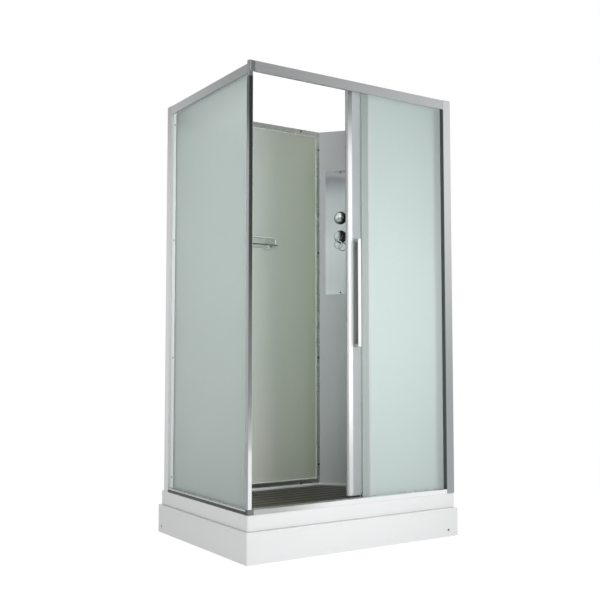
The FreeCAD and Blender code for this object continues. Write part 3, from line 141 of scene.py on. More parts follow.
def uneven_finish(name, colour, drift, rough, slow=4.0, fine=200.0, stretch=(1, 1, 1),
                  bump=0.05, depth=0.0002, metal=0.0):
    """Finish whose colour, gloss and bump all come from the uneven surface group."""
    finish, tree, shader = new_finish(name)
    surface = tree.nodes.new("ShaderNodeGroup")
    surface.node_tree = uneven
    surface.inputs["Color"].default_value = (*colour, 1)
    surface.inputs["Drift Color"].default_value = (*drift, 1)
    surface.inputs["Stretch"].default_value = stretch
    surface.inputs["Slow Scale"].default_value = slow
    surface.inputs["Fine Scale"].default_value = fine
    surface.inputs["Rough Low"].default_value, surface.inputs["Rough High"].default_value = rough
    relief = tree.nodes.new("ShaderNodeBump")
    relief.inputs["Strength"].default_value = bump
    relief.inputs["Distance"].default_value = depth
    tree.links.new(surface.outputs["Color"], shader.inputs["Base Color"])
    tree.links.new(surface.outputs["Roughness"], shader.inputs["Roughness"])
    tree.links.new(surface.outputs["Height"], relief.inputs["Height"])
    tree.links.new(relief.outputs["Normal"], shader.inputs["Normal"])
    shader.inputs["Metallic"].default_value = metal
    return finish, shader


acrylic, acrylic_shader = uneven_finish("white acrylic", (0.82, 0.825, 0.83), (0.79, 0.795, 0.80),
                                        (0.10, 0.2), slow=2.5, fine=320.0, bump=0.08, depth=0.0003)
acrylic_shader.inputs["Coat Weight"].default_value = 0.3
acrylic_shader.inputs["Coat Roughness"].default_value = 0.05
dress(acrylic, "tray", "apron")

# Support frame and feet: galvanised square tube, zinc-plated rods and nuts, black moulded pads.
# They stand on the floor under the tray and show only from below and behind.

galvanised, _ = uneven_finish("galvanised tube", (0.50, 0.52, 0.53), (0.36, 0.38, 0.40), (0.35, 0.6),
                              slow=22.0, fine=90.0, bump=0.12, metal=0.85)
dress(galvanised, "support_frame")
zinc, _ = uneven_finish("zinc plate", (0.62, 0.63, 0.62), (0.54, 0.55, 0.5), (0.22, 0.4),
                        slow=40.0, fine=400.0, bump=0.05, metal=1.0)
dress(zinc, "foot_nuts", "handle_screws")


def threaded_finish(pitch):
    """Zinc-plated rod with its thread as a bump that climbs along Z."""
    finish, shader = uneven_finish("threaded rod", (0.60, 0.61, 0.60), (0.50, 0.51, 0.47), (0.25, 0.42),
                                   slow=40.0, fine=400.0, metal=1.0)
    tree = finish.node_tree
    place = tree.nodes.new("ShaderNodeTexCoord")
    thread = tree.nodes.new("ShaderNodeTexWave")
    thread.bands_direction = "Z"
    radians_per_metre = 20.0
    thread.inputs["Scale"].default_value = math.tau / (radians_per_metre * pitch)
    tree.links.new(place.outputs["Object"], thread.inputs["Vector"])
    relief = shader.inputs["Normal"].links[0].from_node
    relief.inputs["Strength"].default_value = 0.9
    relief.inputs["Distance"].default_value = pitch / 2
    tree.links.new(thread.outputs["Fac"], relief.inputs["Height"])
    return finish


ROD_PITCH = 0.00175
dress(threaded_finish(ROD_PITCH), "foot_rods")
dark_steel, _ = uneven_finish("dark plated steel", (0.10, 0.10, 0.10), (0.16, 0.16, 0.155), (0.25, 0.4),
                              slow=60.0, fine=500.0, bump=0.05, metal=0.9)
dress(dark_steel, "apron_screws", "plate_screws")
pad_black, _ = uneven_finish("black moulding", (0.025, 0.025, 0.026), (0.04, 0.04, 0.04), (0.45, 0.65),
                             slow=30.0, fine=700.0, bump=0.2)
dress(pad_black, "foot_pads")

# Drain: white moulded trap under the tray, grey flange and a chrome cover below the deck.
# The waste pipe pushes onto the spigot at the back.

chrome, _ = uneven_finish("chrome plate", (0.80, 0.805, 0.81), (0.76, 0.765, 0.77), (0.03, 0.08),
                          slow=30.0, fine=300.0, bump=0.01, metal=1.0)
dress(chrome, "drain_cover")
white_moulding, _ = uneven_finish("white moulding", (0.80, 0.81, 0.81), (0.74, 0.75, 0.75), (0.25, 0.38),
                                  slow=6.0, fine=500.0, bump=0.08)
dress(white_moulding, "drain_trap")
grey_moulding, _ = uneven_finish("grey moulding", (0.42, 0.43, 0.44), (0.36, 0.37, 0.38), (0.3, 0.45),
                                 slow=20.0, fine=900.0, bump=0.12)
dress(grey_moulding, "drain_flange", "post_caps", "handle_end_caps")

# Deck: oiled dark hardwood slats that lie across two layers of bearers and lift out for cleaning.
# The grain runs along the slats, and its paler streaks are duller.


def timber_finish():
    """Dark hardwood whose tone, gloss and bump follow one grain along X."""
    finish, tree, shader = new_finish("dark hardwood")
    add, link = tree.nodes.new, tree.links.new
    place = add("ShaderNodeTexCoord")
    along = add("ShaderNodeMapping")
    along.inputs["Scale"].default_value = (3.0, 55.0, 55.0)
    link(place.outputs["Object"], along.inputs["Vector"])
    grain = add("ShaderNodeTexNoise")
    grain.inputs["Scale"].default_value = 2.2
    grain.inputs["Detail"].default_value = 7.0
    grain.inputs["Distortion"].default_value = 0.8
    link(along.outputs["Vector"], grain.inputs["Vector"])
    tone = add("ShaderNodeValToRGB")
    dark, light = tone.color_ramp.elements
    dark.position, light.position = 0.3, 0.75
    dark.color = (0.012, 0.008, 0.005, 1)
    light.color = (0.06, 0.042, 0.028, 1)
    link(grain.outputs["Fac"], tone.inputs["Fac"])
    link(tone.outputs["Color"], shader.inputs["Base Color"])
    gloss = add("ShaderNodeMapRange")
    gloss.inputs["To Min"].default_value = 0.22
    gloss.inputs["To Max"].default_value = 0.42
    link(grain.outputs["Fac"], gloss.inputs["Value"])
    link(gloss.outputs["Result"], shader.inputs["Roughness"])
    relief = add("ShaderNodeBump")
    relief.inputs["Strength"].default_value = 0.25
    relief.inputs["Distance"].default_value = 0.0006
    link(grain.outputs["Fac"], relief.inputs["Height"])
    link(relief.outputs["Normal"], shader.inputs["Normal"])
    shader.inputs["Specular IOR Level"].default_value = 0.35
    return finish


dress(timber_finish(), "deck_slats", "deck_battens")

# Posts, rails and handle: extruded aluminium with fine die lines along its length. The rails and
# wall posts are satin, the door's edge is bright, and the corner post, sills and handle are polished.
# Grey mouldings close the post tops, and a black one the foot of the corner, with its front face painted
# grey as painted light.

ALONG_X, ALONG_Y, ALONG_Z = (0.6, 90, 90), (90, 0.6, 90), (90, 90, 0.6)
X_AXIS, Y_AXIS, Z_AXIS = (1, 0, 0), (0, 1, 0), (0, 0, 1)


def zone_group():
    """Mask that rises from 0 to 1 between two places along an axis of the object's own coordinates."""
    group = bpy.data.node_groups.new("zone along an axis", "ShaderNodeTree")
    face = group.interface
    face.new_socket("Axis", in_out="INPUT", socket_type="NodeSocketVector")
    for label in ("Start", "End"):
        face.new_socket(label, in_out="INPUT", socket_type="NodeSocketFloat")
    face.new_socket("Mask", in_out="OUTPUT", socket_type="NodeSocketFloat")
    add, link = group.nodes.new, group.links.new
    start, end = add("NodeGroupInput"), add("NodeGroupOutput")
    place = add("ShaderNodeTexCoord")
    along = add("ShaderNodeVectorMath")
    along.operation = "DOT_PRODUCT"
    link(place.outputs["Object"], along.inputs[0])
    link(start.outputs["Axis"], along.inputs[1])
    rise = add("ShaderNodeMapRange")
    rise.interpolation_type = "SMOOTHSTEP"
    link(along.outputs["Value"], rise.inputs["Value"])
    link(start.outputs["Start"], rise.inputs["From Min"])
    link(start.outputs["End"], rise.inputs["From Max"])
    link(rise.outputs["Result"], end.inputs["Mask"])
    return group


zone_mask = zone_group()


def zone(shader, axis, start, end, **values):
    """Turns sockets of a shader to other values from a start to an end along an axis, either way."""
    tree = shader.id_data
    mask = tree.nodes.new("ShaderNodeGroup")
    mask.node_tree = zone_mask
    mask.inputs["Axis"].default_value = axis
    mask.inputs["Start"].default_value = start
    mask.inputs["End"].default_value = end
    for label, value in values.items():
        target = shader.inputs[label.replace("_", " ")]
        kind = "RGBA" if target.type == "RGBA" else "FLOAT"
        before = target.links[0].from_socket if target.is_linked else target.default_value
        after = (*value, 1) if kind == "RGBA" else value
        tree.links.new(blend(tree, mask.outputs["Mask"], before, after, kind), target)


def satin(name, along, shade=0.62):
    """Satin anodised aluminium with die lines along one axis."""
    return uneven_finish(name, (shade, shade * 1.015, shade * 1.03),
                         (shade * 0.92, shade * 0.935, shade * 0.95), (0.26, 0.38),
                         slow=1.5, fine=14.0, stretch=along, bump=0.06, metal=1.0)


def polished(name, along, shade=0.84, rough=(0.05, 0.10)):
    """Polished aluminium, hardly drawn along one axis."""
    return uneven_finish(name, (shade, shade * 1.01, shade * 1.02),
                         (shade * 0.96, shade * 0.97, shade * 0.98), rough,
                         slow=1.2, fine=10.0, stretch=along, bump=0.002, metal=1.0)


top_rail_finish, _ = satin("satin front rail", ALONG_X)
dress(top_rail_finish, "front_top_rail")

# Painted shade and painted reflection: the left rail is a darker copy of the satin, painted lighter towards
# its back end.
left_rail_finish, left_rail_shader = satin("satin left rail", ALONG_Y, 0.52)
rail_corner_y, rail_back_y = (corner[1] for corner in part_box("left_top_rail"))
zone(left_rail_shader, Y_AXIS, rail_corner_y, rail_back_y, Base_Color=(0.60, 0.61, 0.62))
dress(left_rail_finish, "left_top_rail")

# Painted light and shade: the right post is a brighter copy of the satin, painted darker towards the floor
# as a painted reflection.
right_post_finish, right_post_shader = satin("satin right post", ALONG_Z, 0.76)
post_painted_light_z, post_painted_shade_z = 2.0, 0.6
zone(right_post_shader, Z_AXIS, post_painted_light_z, post_painted_shade_z, Base_Color=(0.36, 0.375, 0.38))
# Painted shade: the post's left side face is painted near black.
post_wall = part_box("front_top_rail")[1][0]
zone(right_post_shader, X_AXIS, post_wall + 0.0012, post_wall + 0.0003,
     Base_Color=(0.06, 0.07, 0.065), Metallic=0.0, Roughness=0.5)
dress(right_post_finish, "right_post")

# Painted shade and painted light: the back post is a darker copy of the satin, and its part in front of the
# left rail's back end is painted pale.
back_post_finish, back_post_shader = satin("satin back post", ALONG_Z, 0.56)
zone(back_post_shader, Y_AXIS, rail_back_y + 0.0005, rail_back_y - 0.0005,
     Base_Color=(0.86, 0.88, 0.87), Metallic=0.0, Roughness=0.35)
dress(back_post_finish, "back_left_post")

corner_finish, corner_shader = polished("polished corner post", ALONG_Z)
corner_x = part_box("corner_post")[0][0]
# Painted shade: the corner post's left face is painted dark grey, standing in for a dark reflection.
zone(corner_shader, X_AXIS, corner_x + 0.0022, corner_x + 0.0012, Base_Color=(0.30, 0.31, 0.31))
dress(corner_finish, "corner_post")

front_sill, front_sill_shader = polished("polished front sill", ALONG_X, 0.88, (0.2, 0.3))
sill_low, sill_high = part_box("front_bottom_rail")
# Painted reflection: the front sill is painted darker towards its left end.
zone(front_sill_shader, X_AXIS, sill_low[0] + 0.45, sill_low[0] + 0.1, Base_Color=(0.50, 0.505, 0.50))
dress(front_sill, "front_bottom_rail")

# Painted reflection: the left sill is painted near black for a dark reflection, and its top lip is painted
# pale as painted light.
left_sill, left_sill_shader = polished("left sill painted dark", ALONG_Y, 0.05, (0.12, 0.2))
left_low, left_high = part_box("left_bottom_rail")
SILL_LIP = 0.006
lip_z = left_high[2] - SILL_LIP
zone(left_sill_shader, Z_AXIS, lip_z - 0.0006, lip_z + 0.0006,
     Base_Color=(0.50, 0.545, 0.52), Metallic=0.4, Roughness=0.35)
dress(left_sill, "left_bottom_rail")

door_metal, door_metal_shader = polished("bright anodised door profile", ALONG_Z, 0.95, (0.14, 0.22))
door_metal_shader.inputs["Metallic"].default_value = 0.45
# Painted reflection: the profile is painted darker towards its top and towards its foot.
door_top_painted_shade, door_foot_painted_shade = (1.80, 2.12), (0.75, 0.3)
zone(door_metal_shader, Z_AXIS, *door_top_painted_shade, Base_Color=(0.34, 0.35, 0.36))
zone(door_metal_shader, Z_AXIS, *door_foot_painted_shade, Base_Color=(0.60, 0.615, 0.62))
dress(door_metal, "door_edge_profile")

handle_metal, handle_shader = polished("polished handle", ALONG_Z, 0.86)
handle_low, handle_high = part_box("door_handle")
# Painted shade: the handle is painted dark grey behind its front face, in its channel and on its sides,
# except on its right face.
zone(handle_shader, Y_AXIS, handle_low[1] + 0.0012, handle_low[1] + 0.002,
     Base_Color=(0.29, 0.30, 0.285), Metallic=0.0, Roughness=0.45)
zone(handle_shader, X_AXIS, handle_high[0] - 0.0012, handle_high[0] - 0.0005,
     Base_Color=(0.86, 0.87, 0.88), Metallic=1.0, Roughness=0.1)
dress(handle_metal, "door_handle")

cap_metal, _ = uneven_finish("satin cap", (0.58, 0.59, 0.60), (0.52, 0.53, 0.54), (0.2, 0.26),
                             slow=12.0, fine=200.0, bump=0.03, metal=1.0)
dress(cap_metal, "top_corner_cap")
corner_foot, corner_foot_shader = uneven_finish("corner foot moulding", (0.025, 0.025, 0.026),
                                                (0.04, 0.04, 0.04), (0.4, 0.55),
                                                slow=30.0, fine=700.0, bump=0.15)
# Painted light: the foot's front face is painted grey.
foot_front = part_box("bottom_corner_cap")[0][1]
zone(corner_foot_shader, Y_AXIS, foot_front + 0.003, foot_front + 0.001, Base_Color=(0.17, 0.175, 0.17))
dress(corner_foot, "bottom_corner_cap")

# Side, fixed and door glass: 5 mm toughened glass with a slight green tint, acid etched so that it
# hides what stands behind it and shows only what touches it.


def etched_glass(name, colour, drift, through):
    """Etched glass of one tint, with the share of light that goes through it."""
    finish, shader = uneven_finish(name, colour, drift, (0.46, 0.54),
                                   slow=1.4, fine=1200.0, bump=0.12, depth=0.0001)
    shader.inputs["IOR"].default_value = 1.5
    shader.inputs["Transmission Weight"].default_value = through
    return finish, shader


side_etch, side_etch_shader = etched_glass("etched side glass", (0.74, 0.815, 0.79),
                                           (0.71, 0.79, 0.765), 0.72)
# Painted shade: the side glass is painted darker near its top.
side_top_painted_shade = (1.95, 2.13)
zone(side_etch_shader, Z_AXIS, *side_top_painted_shade, Base_Color=(0.60, 0.67, 0.655))
dress(side_etch, "side_glass")
fixed_etch, _ = etched_glass("etched fixed glass", (0.785, 0.875, 0.86), (0.755, 0.85, 0.83), 0.5)
dress(fixed_etch, "fixed_glass")
door_etch, door_etch_shader = etched_glass("etched door glass", (0.79, 0.88, 0.865),
                                           (0.76, 0.855, 0.835), 0.5)
# Painted shadow: the door glass is painted darker along its leading edge, where the fixed panel shades it.
door_edge_painted_shadow = (0.16, 0.06)
zone(door_etch_shader, X_AXIS, *door_edge_painted_shadow, Base_Color=(0.59, 0.635, 0.64))
dress(door_etch, "door_glass")

# Seals and gaskets: half-clear soft plastic strips pushed onto the glass edges and into the
# channels, and a softer nose on the door's closing edge.

PLASTIC_IOR = 1.46


def clear_strip(name, shade):
    """Half-clear extruded plastic of one shade, faintly drawn along Z."""
    finish, shader = uneven_finish(name, (shade, shade * 1.03, shade * 1.03),
                                   (shade * 0.95, shade * 0.98, shade * 0.98), (0.22, 0.34),
                                   slow=8.0, fine=40.0, stretch=(1, 1, 0.05), bump=0.004)
    shader.inputs["IOR"].default_value = PLASTIC_IOR
    shader.inputs["Transmission Weight"].default_value = 0.4
    return finish


dress(clear_strip("half-clear gasket", 0.80), "glass_gaskets", "door_trailing_seal")
dress(clear_strip("white strike seal", 0.92), "strike_seal")
# Painted shade: the seal on the door's closing edge is a darker copy of the gasket plastic, for the dark
# line beside the door's edge profile.
dress(clear_strip("darker door seal", 0.60), "door_edge_seal")


def edge_strip():
    """Smooth grey-green strip over the fixed panel's edge, with a painted highlight line near its far side
    and painted light on its near side face.
    """
    finish, shader = uneven_finish("clear edge strip", (0.62, 0.71, 0.68), (0.58, 0.67, 0.64), (0.16, 0.24),
                                   slow=2.0, fine=40.0, stretch=(1, 1, 0.1), bump=0.005)
    shader.inputs["IOR"].default_value = PLASTIC_IOR
    shader.inputs["Transmission Weight"].default_value = 0.45
    edge, far_side = (corner[0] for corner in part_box("fixed_edge_seal"))
    highlight_x = far_side - 0.005
    # Painted highlight: a white line near the far side; painted light: the near side face is painted paler.
    zone(shader, X_AXIS, highlight_x - 0.0003, highlight_x + 0.0003, Base_Color=(0.98, 1.0, 0.99))
    zone(shader, X_AXIS, edge + 0.002, edge + 0.0005, Base_Color=(0.82, 0.88, 0.86))
    return finish


dress(edge_strip(), "fixed_edge_seal")

# Glazing strip: clear soft plastic pressed between the back left post and the outside of the side
# glass. The heads of the clamping screws behind the glass show through it as dark spots.

STRIP_WIDTH, STRIP_THICKNESS, STRIP_EASE = 0.034, 0.0012, 0.0004
SPOT_INSET, FIRST_SPOT_Z, SPOT_STEP, SPOT_RADIUS = 0.020, 0.282, 0.59667, 0.0055


def bar_piece(name, low, high, ease):
    """Straight bar between two corners with its long edges eased."""
    shape = bmesh.new()
    bmesh.ops.create_cube(shape, size=1.0)
    span = Vector(high) - Vector(low)
    bmesh.ops.scale(shape, vec=span, verts=shape.verts)
    bmesh.ops.translate(shape, vec=(Vector(low) + Vector(high)) / 2, verts=shape.verts)
    longest = max(range(3), key=lambda axis: span[axis])
    long_edges = [side for side in shape.edges
                  if abs((side.verts[0].co - side.verts[1].co)[longest]) > span[longest] * 0.5]
    bmesh.ops.bevel(shape, geom=long_edges, offset=ease, affect="EDGES",
                    segments=2, profile=0.5, material=-1)
    mesh = bpy.data.meshes.new(name)
    shape.to_mesh(mesh)
    shape.free()
    piece = bpy.data.objects.new(name, mesh)
    bpy.context.scene.collection.objects.link(piece)
    return piece


def spotted_strip(centre_y):
    """Clear strip with a dark spot at every clamping screw along one upright line."""
    finish, shader = uneven_finish("glazing strip", (0.86, 0.93, 0.91), (0.82, 0.90, 0.88), (0.2, 0.3),
                                   slow=3.0, fine=60.0, stretch=(1, 1, 0.1), bump=0.01)
    tree = finish.node_tree
    place = tree.nodes.new("ShaderNodeTexCoord")
    axes = tree.nodes.new("ShaderNodeSeparateXYZ")
    tree.links.new(place.outputs["Object"], axes.inputs[0])
    across = maths(tree, "SUBTRACT", axes.outputs["Y"], centre_y)
    steps = maths(tree, "DIVIDE", maths(tree, "SUBTRACT", axes.outputs["Z"], FIRST_SPOT_Z), SPOT_STEP)
    past_spot = maths(tree, "SUBTRACT", steps, maths(tree, "ROUND", steps))
    along = maths(tree, "MULTIPLY", past_spot, SPOT_STEP)
    squares = [maths(tree, "MULTIPLY", side, side) for side in (across, along)]
    away = maths(tree, "SQRT", maths(tree, "ADD", *squares))
    outside = tree.nodes.new("ShaderNodeMapRange")
    outside.interpolation_type = "SMOOTHSTEP"
    outside.inputs["From Min"].default_value = SPOT_RADIUS * 0.7
    outside.inputs["From Max"].default_value = SPOT_RADIUS * 1.2
    tree.links.new(away, outside.inputs["Value"])
    plain = shader.inputs["Base Color"].links[0].from_socket
    spotted = blend(tree, outside.outputs["Result"], (0.12, 0.13, 0.125, 1), plain)
    tree.links.new(spotted, shader.inputs["Base Color"])
    return finish


glass_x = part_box("side_glass")[0][0]
strip_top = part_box("left_top_rail")[0][2]
glazing_strip = bar_piece("side_glazing_strip",
                          (glass_x - STRIP_THICKNESS, rail_back_y - STRIP_WIDTH, left_high[2]),
                          (glass_x, rail_back_y, strip_top), STRIP_EASE)
glazing_strip.data.materials.append(spotted_strip(rail_back_y - SPOT_INSET))
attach(glazing_strip, "cabin")

# Back walls: glass painted grey-green on its back, in frames of bright aluminium.
# Black screws hold the frames to each other, to the posts and to the column.

wall_metal, wall_metal_shader = uneven_finish("bright wall frame", (0.71, 0.73, 0.715), (0.67, 0.69, 0.675),
                                              (0.24, 0.32), slow=3.0, fine=30.0, bump=0.002, metal=1.0)
back_low, back_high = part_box("back_wall_frame")
# Painted shade and painted light: the frames are painted darker at the top rail and paler at the bottom
# rail.
zone(wall_metal_shader, Z_AXIS, back_high[2] - 0.05, back_high[2] - 0.02, Base_Color=(0.54, 0.57, 0.53))
zone(wall_metal_shader, Z_AXIS, back_low[2] + 0.06, back_low[2] + 0.02, Base_Color=(0.94, 0.94, 0.92))
dress(wall_metal, "back_wall_frame", "right_wall_frame")


def painted_glass():
    """Painted glass, lighter and warmer near the floor as painted light, and darker and greener towards the
    column as painted shade.
    """
    finish, shader = uneven_finish("back-painted glass", (0.71, 0.75, 0.72), (0.67, 0.71, 0.675),
                                   (0.07, 0.13), slow=1.1, fine=60.0, bump=0.01, depth=0.0001)
    # Painted light near the floor, painted shade towards the column.
    painted_light_from_z, painted_light_z = 0.95, 0.35
    zone(shader, Z_AXIS, painted_light_from_z, painted_light_z, Base_Color=(0.83, 0.83, 0.80))
    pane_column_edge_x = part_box("back_glass")[1][0]
    zone(shader, X_AXIS, pane_column_edge_x - 0.55, pane_column_edge_x, Base_Color=(0.615, 0.67, 0.55))
    shader.inputs["IOR"].default_value = 1.5
    shader.inputs["Coat Weight"].default_value = 0.6
    shader.inputs["Coat Roughness"].default_value = 0.03
    return finish


dress(painted_glass(), "back_glass", "right_glass")
black_steel, _ = uneven_finish("black oxide steel", (0.02, 0.02, 0.02), (0.05, 0.05, 0.05), (0.3, 0.5),
                               slow=60.0, fine=500.0, bump=0.06, metal=0.6)
dress(black_steel, "wall_screws")

# Sealant: white silicone run into the joints between walls, column, sills and tray, and round the
# two wall panes. It is tooled hollow with a wet finger, so each run is a small concave fillet.

JOINT_RUN, PANE_RUN, PANE_BITE = 0.006, 0.005, 0.007
silicone, _ = uneven_finish("white silicone", (0.88, 0.885, 0.87), (0.84, 0.845, 0.83), (0.25, 0.4),
                            slow=25.0, fine=250.0, bump=0.1)


def add_fillet(shape, start, end, across, up, size):
    """One run of sealant from start to end in the corner between two faces."""
    start, end, across, up = Vector(start), Vector(end), Vector(across), Vector(up)
    hollow = ((0, 0), (1, 0), (0.45, 0.1), (0.22, 0.22), (0.1, 0.45), (0, 1))
    ring = [shape.verts.new(start + across * (out * size) + up * (rise * size)) for out, rise in hollow]
    cap = shape.faces.new(ring)
    run = bmesh.ops.extrude_face_region(shape, geom=[cap], use_keep_orig=True)
    moved = [part for part in run["geom"] if isinstance(part, bmesh.types.BMVert)]
    bmesh.ops.translate(shape, vec=end - start, verts=moved)


def sealant_piece(name, runs, size):
    """All runs of one size as one piece."""
    shape = bmesh.new()
    for run in runs:
        add_fillet(shape, *run, size)
    bmesh.ops.recalc_face_normals(shape, faces=shape.faces)
    mesh = bpy.data.meshes.new(name)
    shape.to_mesh(mesh)
    shape.free()
    mesh.materials.append(silicone)
    piece = bpy.data.objects.new(name, mesh)
    bpy.context.scene.collection.objects.link(piece)
    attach(piece, "cabin")


COLUMN_TURN = math.radians(50)
INTO_CABIN = Vector((-math.sin(COLUMN_TURN), -math.cos(COLUMN_TURN), 0))
LEFT, RIGHT, FRONT, BACK, UP, DOWN = (-1, 0, 0), (1, 0, 0), (0, -1, 0), (0, 1, 0), (0, 0, 1), (0, 0, -1)
right_low, right_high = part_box("right_wall_frame")
column_left = Vector((back_high[0], back_low[1], back_low[2]))
column_reach = (column_left.y - right_high[1]) / math.tan(COLUMN_TURN)
column_right = Vector((column_left.x + column_reach, right_high[1], back_low[2]))
sealant_piece("silicone_joints", (
    ((back_low[0], back_low[1], back_low[2]), column_left, FRONT, UP),
    (column_left, column_right, INTO_CABIN, UP),
    ((right_low[0], right_low[1], right_low[2]), (right_low[0], right_high[1], right_low[2]), LEFT, UP),
    ((sill_low[0], sill_high[1], sill_low[2]), (sill_high[0], sill_high[1], sill_low[2]), BACK, UP),
    ((left_high[0], left_low[1], left_low[2]), (left_high[0], left_high[1], left_low[2]), RIGHT, UP)),
    JOINT_RUN)

pane_low, pane_high = (Vector(corner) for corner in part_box("back_glass"))
pane_left, pane_right = pane_low.x + PANE_BITE, pane_high.x - PANE_BITE
pane_foot, pane_head = pane_low.z + PANE_BITE, pane_high.z - PANE_BITE
pane_y = pane_low.y
side_low, side_high = (Vector(corner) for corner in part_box("right_glass"))
side_near, side_far = side_low.y + PANE_BITE, side_high.y - PANE_BITE
side_x = side_low.x
sealant_piece("glazing_silicone", (
    ((pane_left, pane_y, pane_foot), (pane_left, pane_y, pane_head), RIGHT, FRONT),
    ((pane_right, pane_y, pane_foot), (pane_right, pane_y, pane_head), LEFT, FRONT),
    ((pane_left, pane_y, pane_foot), (pane_right, pane_y, pane_foot), UP, FRONT),
    ((pane_left, pane_y, pane_head), (pane_right, pane_y, pane_head), DOWN, FRONT),
    ((side_x, side_near, pane_foot), (side_x, side_near, pane_head), BACK, LEFT),
    ((side_x, side_far, pane_foot), (side_x, side_far, pane_head), FRONT, LEFT),
    ((side_x, side_near, pane_foot), (side_x, side_far, pane_foot), UP, LEFT),
    ((side_x, side_near, pane_head), (side_x, side_far, pane_head), DOWN, LEFT)), PANE_RUN)

# Column and valves: folded white panel with a mirror-polished steel plate. The brass bodies and
# copper pipes are behind it, the chrome rosettes, knob, dome and ring lever in front.

column_white, _ = uneven_finish("white column panel", (0.80, 0.805, 0.825), (0.76, 0.765, 0.785),
                                (0.22, 0.34), slow=4.0, fine=500.0, bump=0.08)
dress(column_white, "column_panel")
mirror_plate, mirror_shader = uneven_finish("mirror-polished steel", (0.98, 0.94, 0.98), (0.96, 0.92, 0.96),
                                            (0.06, 0.10), slow=3.0, fine=30.0, stretch=(1, 1, 0.05),
                                            bump=0.01, metal=1.0)
plate_foot, plate_head = (corner[2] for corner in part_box("control_plate"))
# Painted reflection: the plate is painted darker near its top and, less, near its foot.
zone(mirror_shader, Z_AXIS, plate_head - 0.17, plate_head - 0.01, Base_Color=(0.66, 0.65, 0.68))
zone(mirror_shader, Z_AXIS, plate_foot + 0.34, plate_foot + 0.05, Base_Color=(0.74, 0.72, 0.75))
dress(mirror_plate, "control_plate")
brass, brass_shader = uneven_finish("cast brass", (0.60, 0.45, 0.20), (0.48, 0.34, 0.15), (0.28, 0.45),
                                    slow=35.0, fine=350.0, bump=0.15, metal=1.0)
panel_face = INTO_CABIN.dot(column_left)
zone(brass_shader, INTO_CABIN, panel_face + 0.0005, panel_face + 0.0015,
     Base_Color=(0.80, 0.805, 0.81), Roughness=0.06)
dress(brass, "diverter_valve", "mixer_body")
copper, _ = uneven_finish("copper tube", (0.66, 0.33, 0.20), (0.50, 0.24, 0.15), (0.22, 0.38),
                          slow=18.0, fine=250.0, bump=0.05, metal=1.0)
dress(copper, "water_pipes")
dress(chrome, "hose_outlet", "mixer_lever")
ALONG_PANEL = Vector((math.cos(COLUMN_TURN), -math.sin(COLUMN_TURN), 0))


def chrome_with_painted_reflection(node, lit, painted_shade_from, painted_shade_to, shade):
    """Chrome that is bright on the doorway's side and painted dark from a place off its middle onwards, as
    a painted reflection.
    """
    finish, shader = uneven_finish("chrome of " + node, (lit, lit, lit * 1.01),
                                   (lit * 0.96, lit * 0.96, lit * 0.97), (0.05, 0.10),
                                   slow=30.0, fine=300.0, bump=0.01, metal=1.0)
    places = [ALONG_PANEL.dot(vertex.co) for vertex in nodes[node].data.vertices]
    middle = (min(places) + max(places)) / 2
    zone(shader, ALONG_PANEL, middle + painted_shade_from, middle + painted_shade_to, Base_Color=shade)
    dress(finish, node)


# Painted reflections: the knob and the dome each get a painted dark side, and the rosettes are painted dark
# all over.
chrome_with_painted_reflection("diverter_knob", 0.95, 0.004, 0.020, (0.20, 0.205, 0.205))
chrome_with_painted_reflection("mixer_dome", 0.95, -0.002, 0.018, (0.05, 0.052, 0.052))
chrome_with_painted_reflection("rosettes", 0.30, -0.020, 0.005, (0.03, 0.032, 0.032))

# Shelf: clear toughened glass on two chrome brackets, with a bent chrome gallery rail that keeps
# bottles from sliding off.

shelf_clear, shelf_clear_shader = uneven_finish("clear glass", (0.86, 0.93, 0.90), (0.84, 0.92, 0.89),
                                                (0.01, 0.03), slow=5.0, fine=50.0, bump=0.01, depth=0.0001)
shelf_clear_shader.inputs["IOR"].default_value = 1.5
shelf_clear_shader.inputs["Transmission Weight"].default_value = 0.92
dress(shelf_clear, "shelf_glass")
bright_tube, _ = uneven_finish("bright tube", (0.92, 0.925, 0.93), (0.89, 0.895, 0.90), (0.16, 0.24),
                               slow=30.0, fine=300.0, bump=0.01, metal=0.8)
dress(bright_tube, "shelf_gallery", "shelf_brackets")

# Rollers and stops: chrome hubs clamped through holes in the door glass, with grooved nylon wheels
# that run on the ribs of the top rail and the sill. Rubber blocks in the rail end the door's travel.

dress(chrome, "top_roller_hubs", "bottom_roller_hubs")
nylon, _ = uneven_finish("white nylon", (0.72, 0.72, 0.69), (0.62, 0.62, 0.58), (0.35, 0.5),
                         slow=60.0, fine=600.0, bump=0.1)
dress(nylon, "top_roller_leading", "top_roller_trailing", "bottom_roller_leading", "bottom_roller_trailing")
stop_rubber, _ = uneven_finish("black rubber", (0.02, 0.02, 0.02), (0.035, 0.035, 0.035), (0.55, 0.75),
                               slow=40.0, fine=900.0, bump=0.25)
dress(stop_rubber, "door_stops")

# Studio: pale floor, soft lamps and a plain pale room that is dim high up and on the left, with one
# dark upright strip at the front right, so that polished metal has something to reflect.

scene = bpy.context.scene
scene.view_settings.view_transform = "Standard"


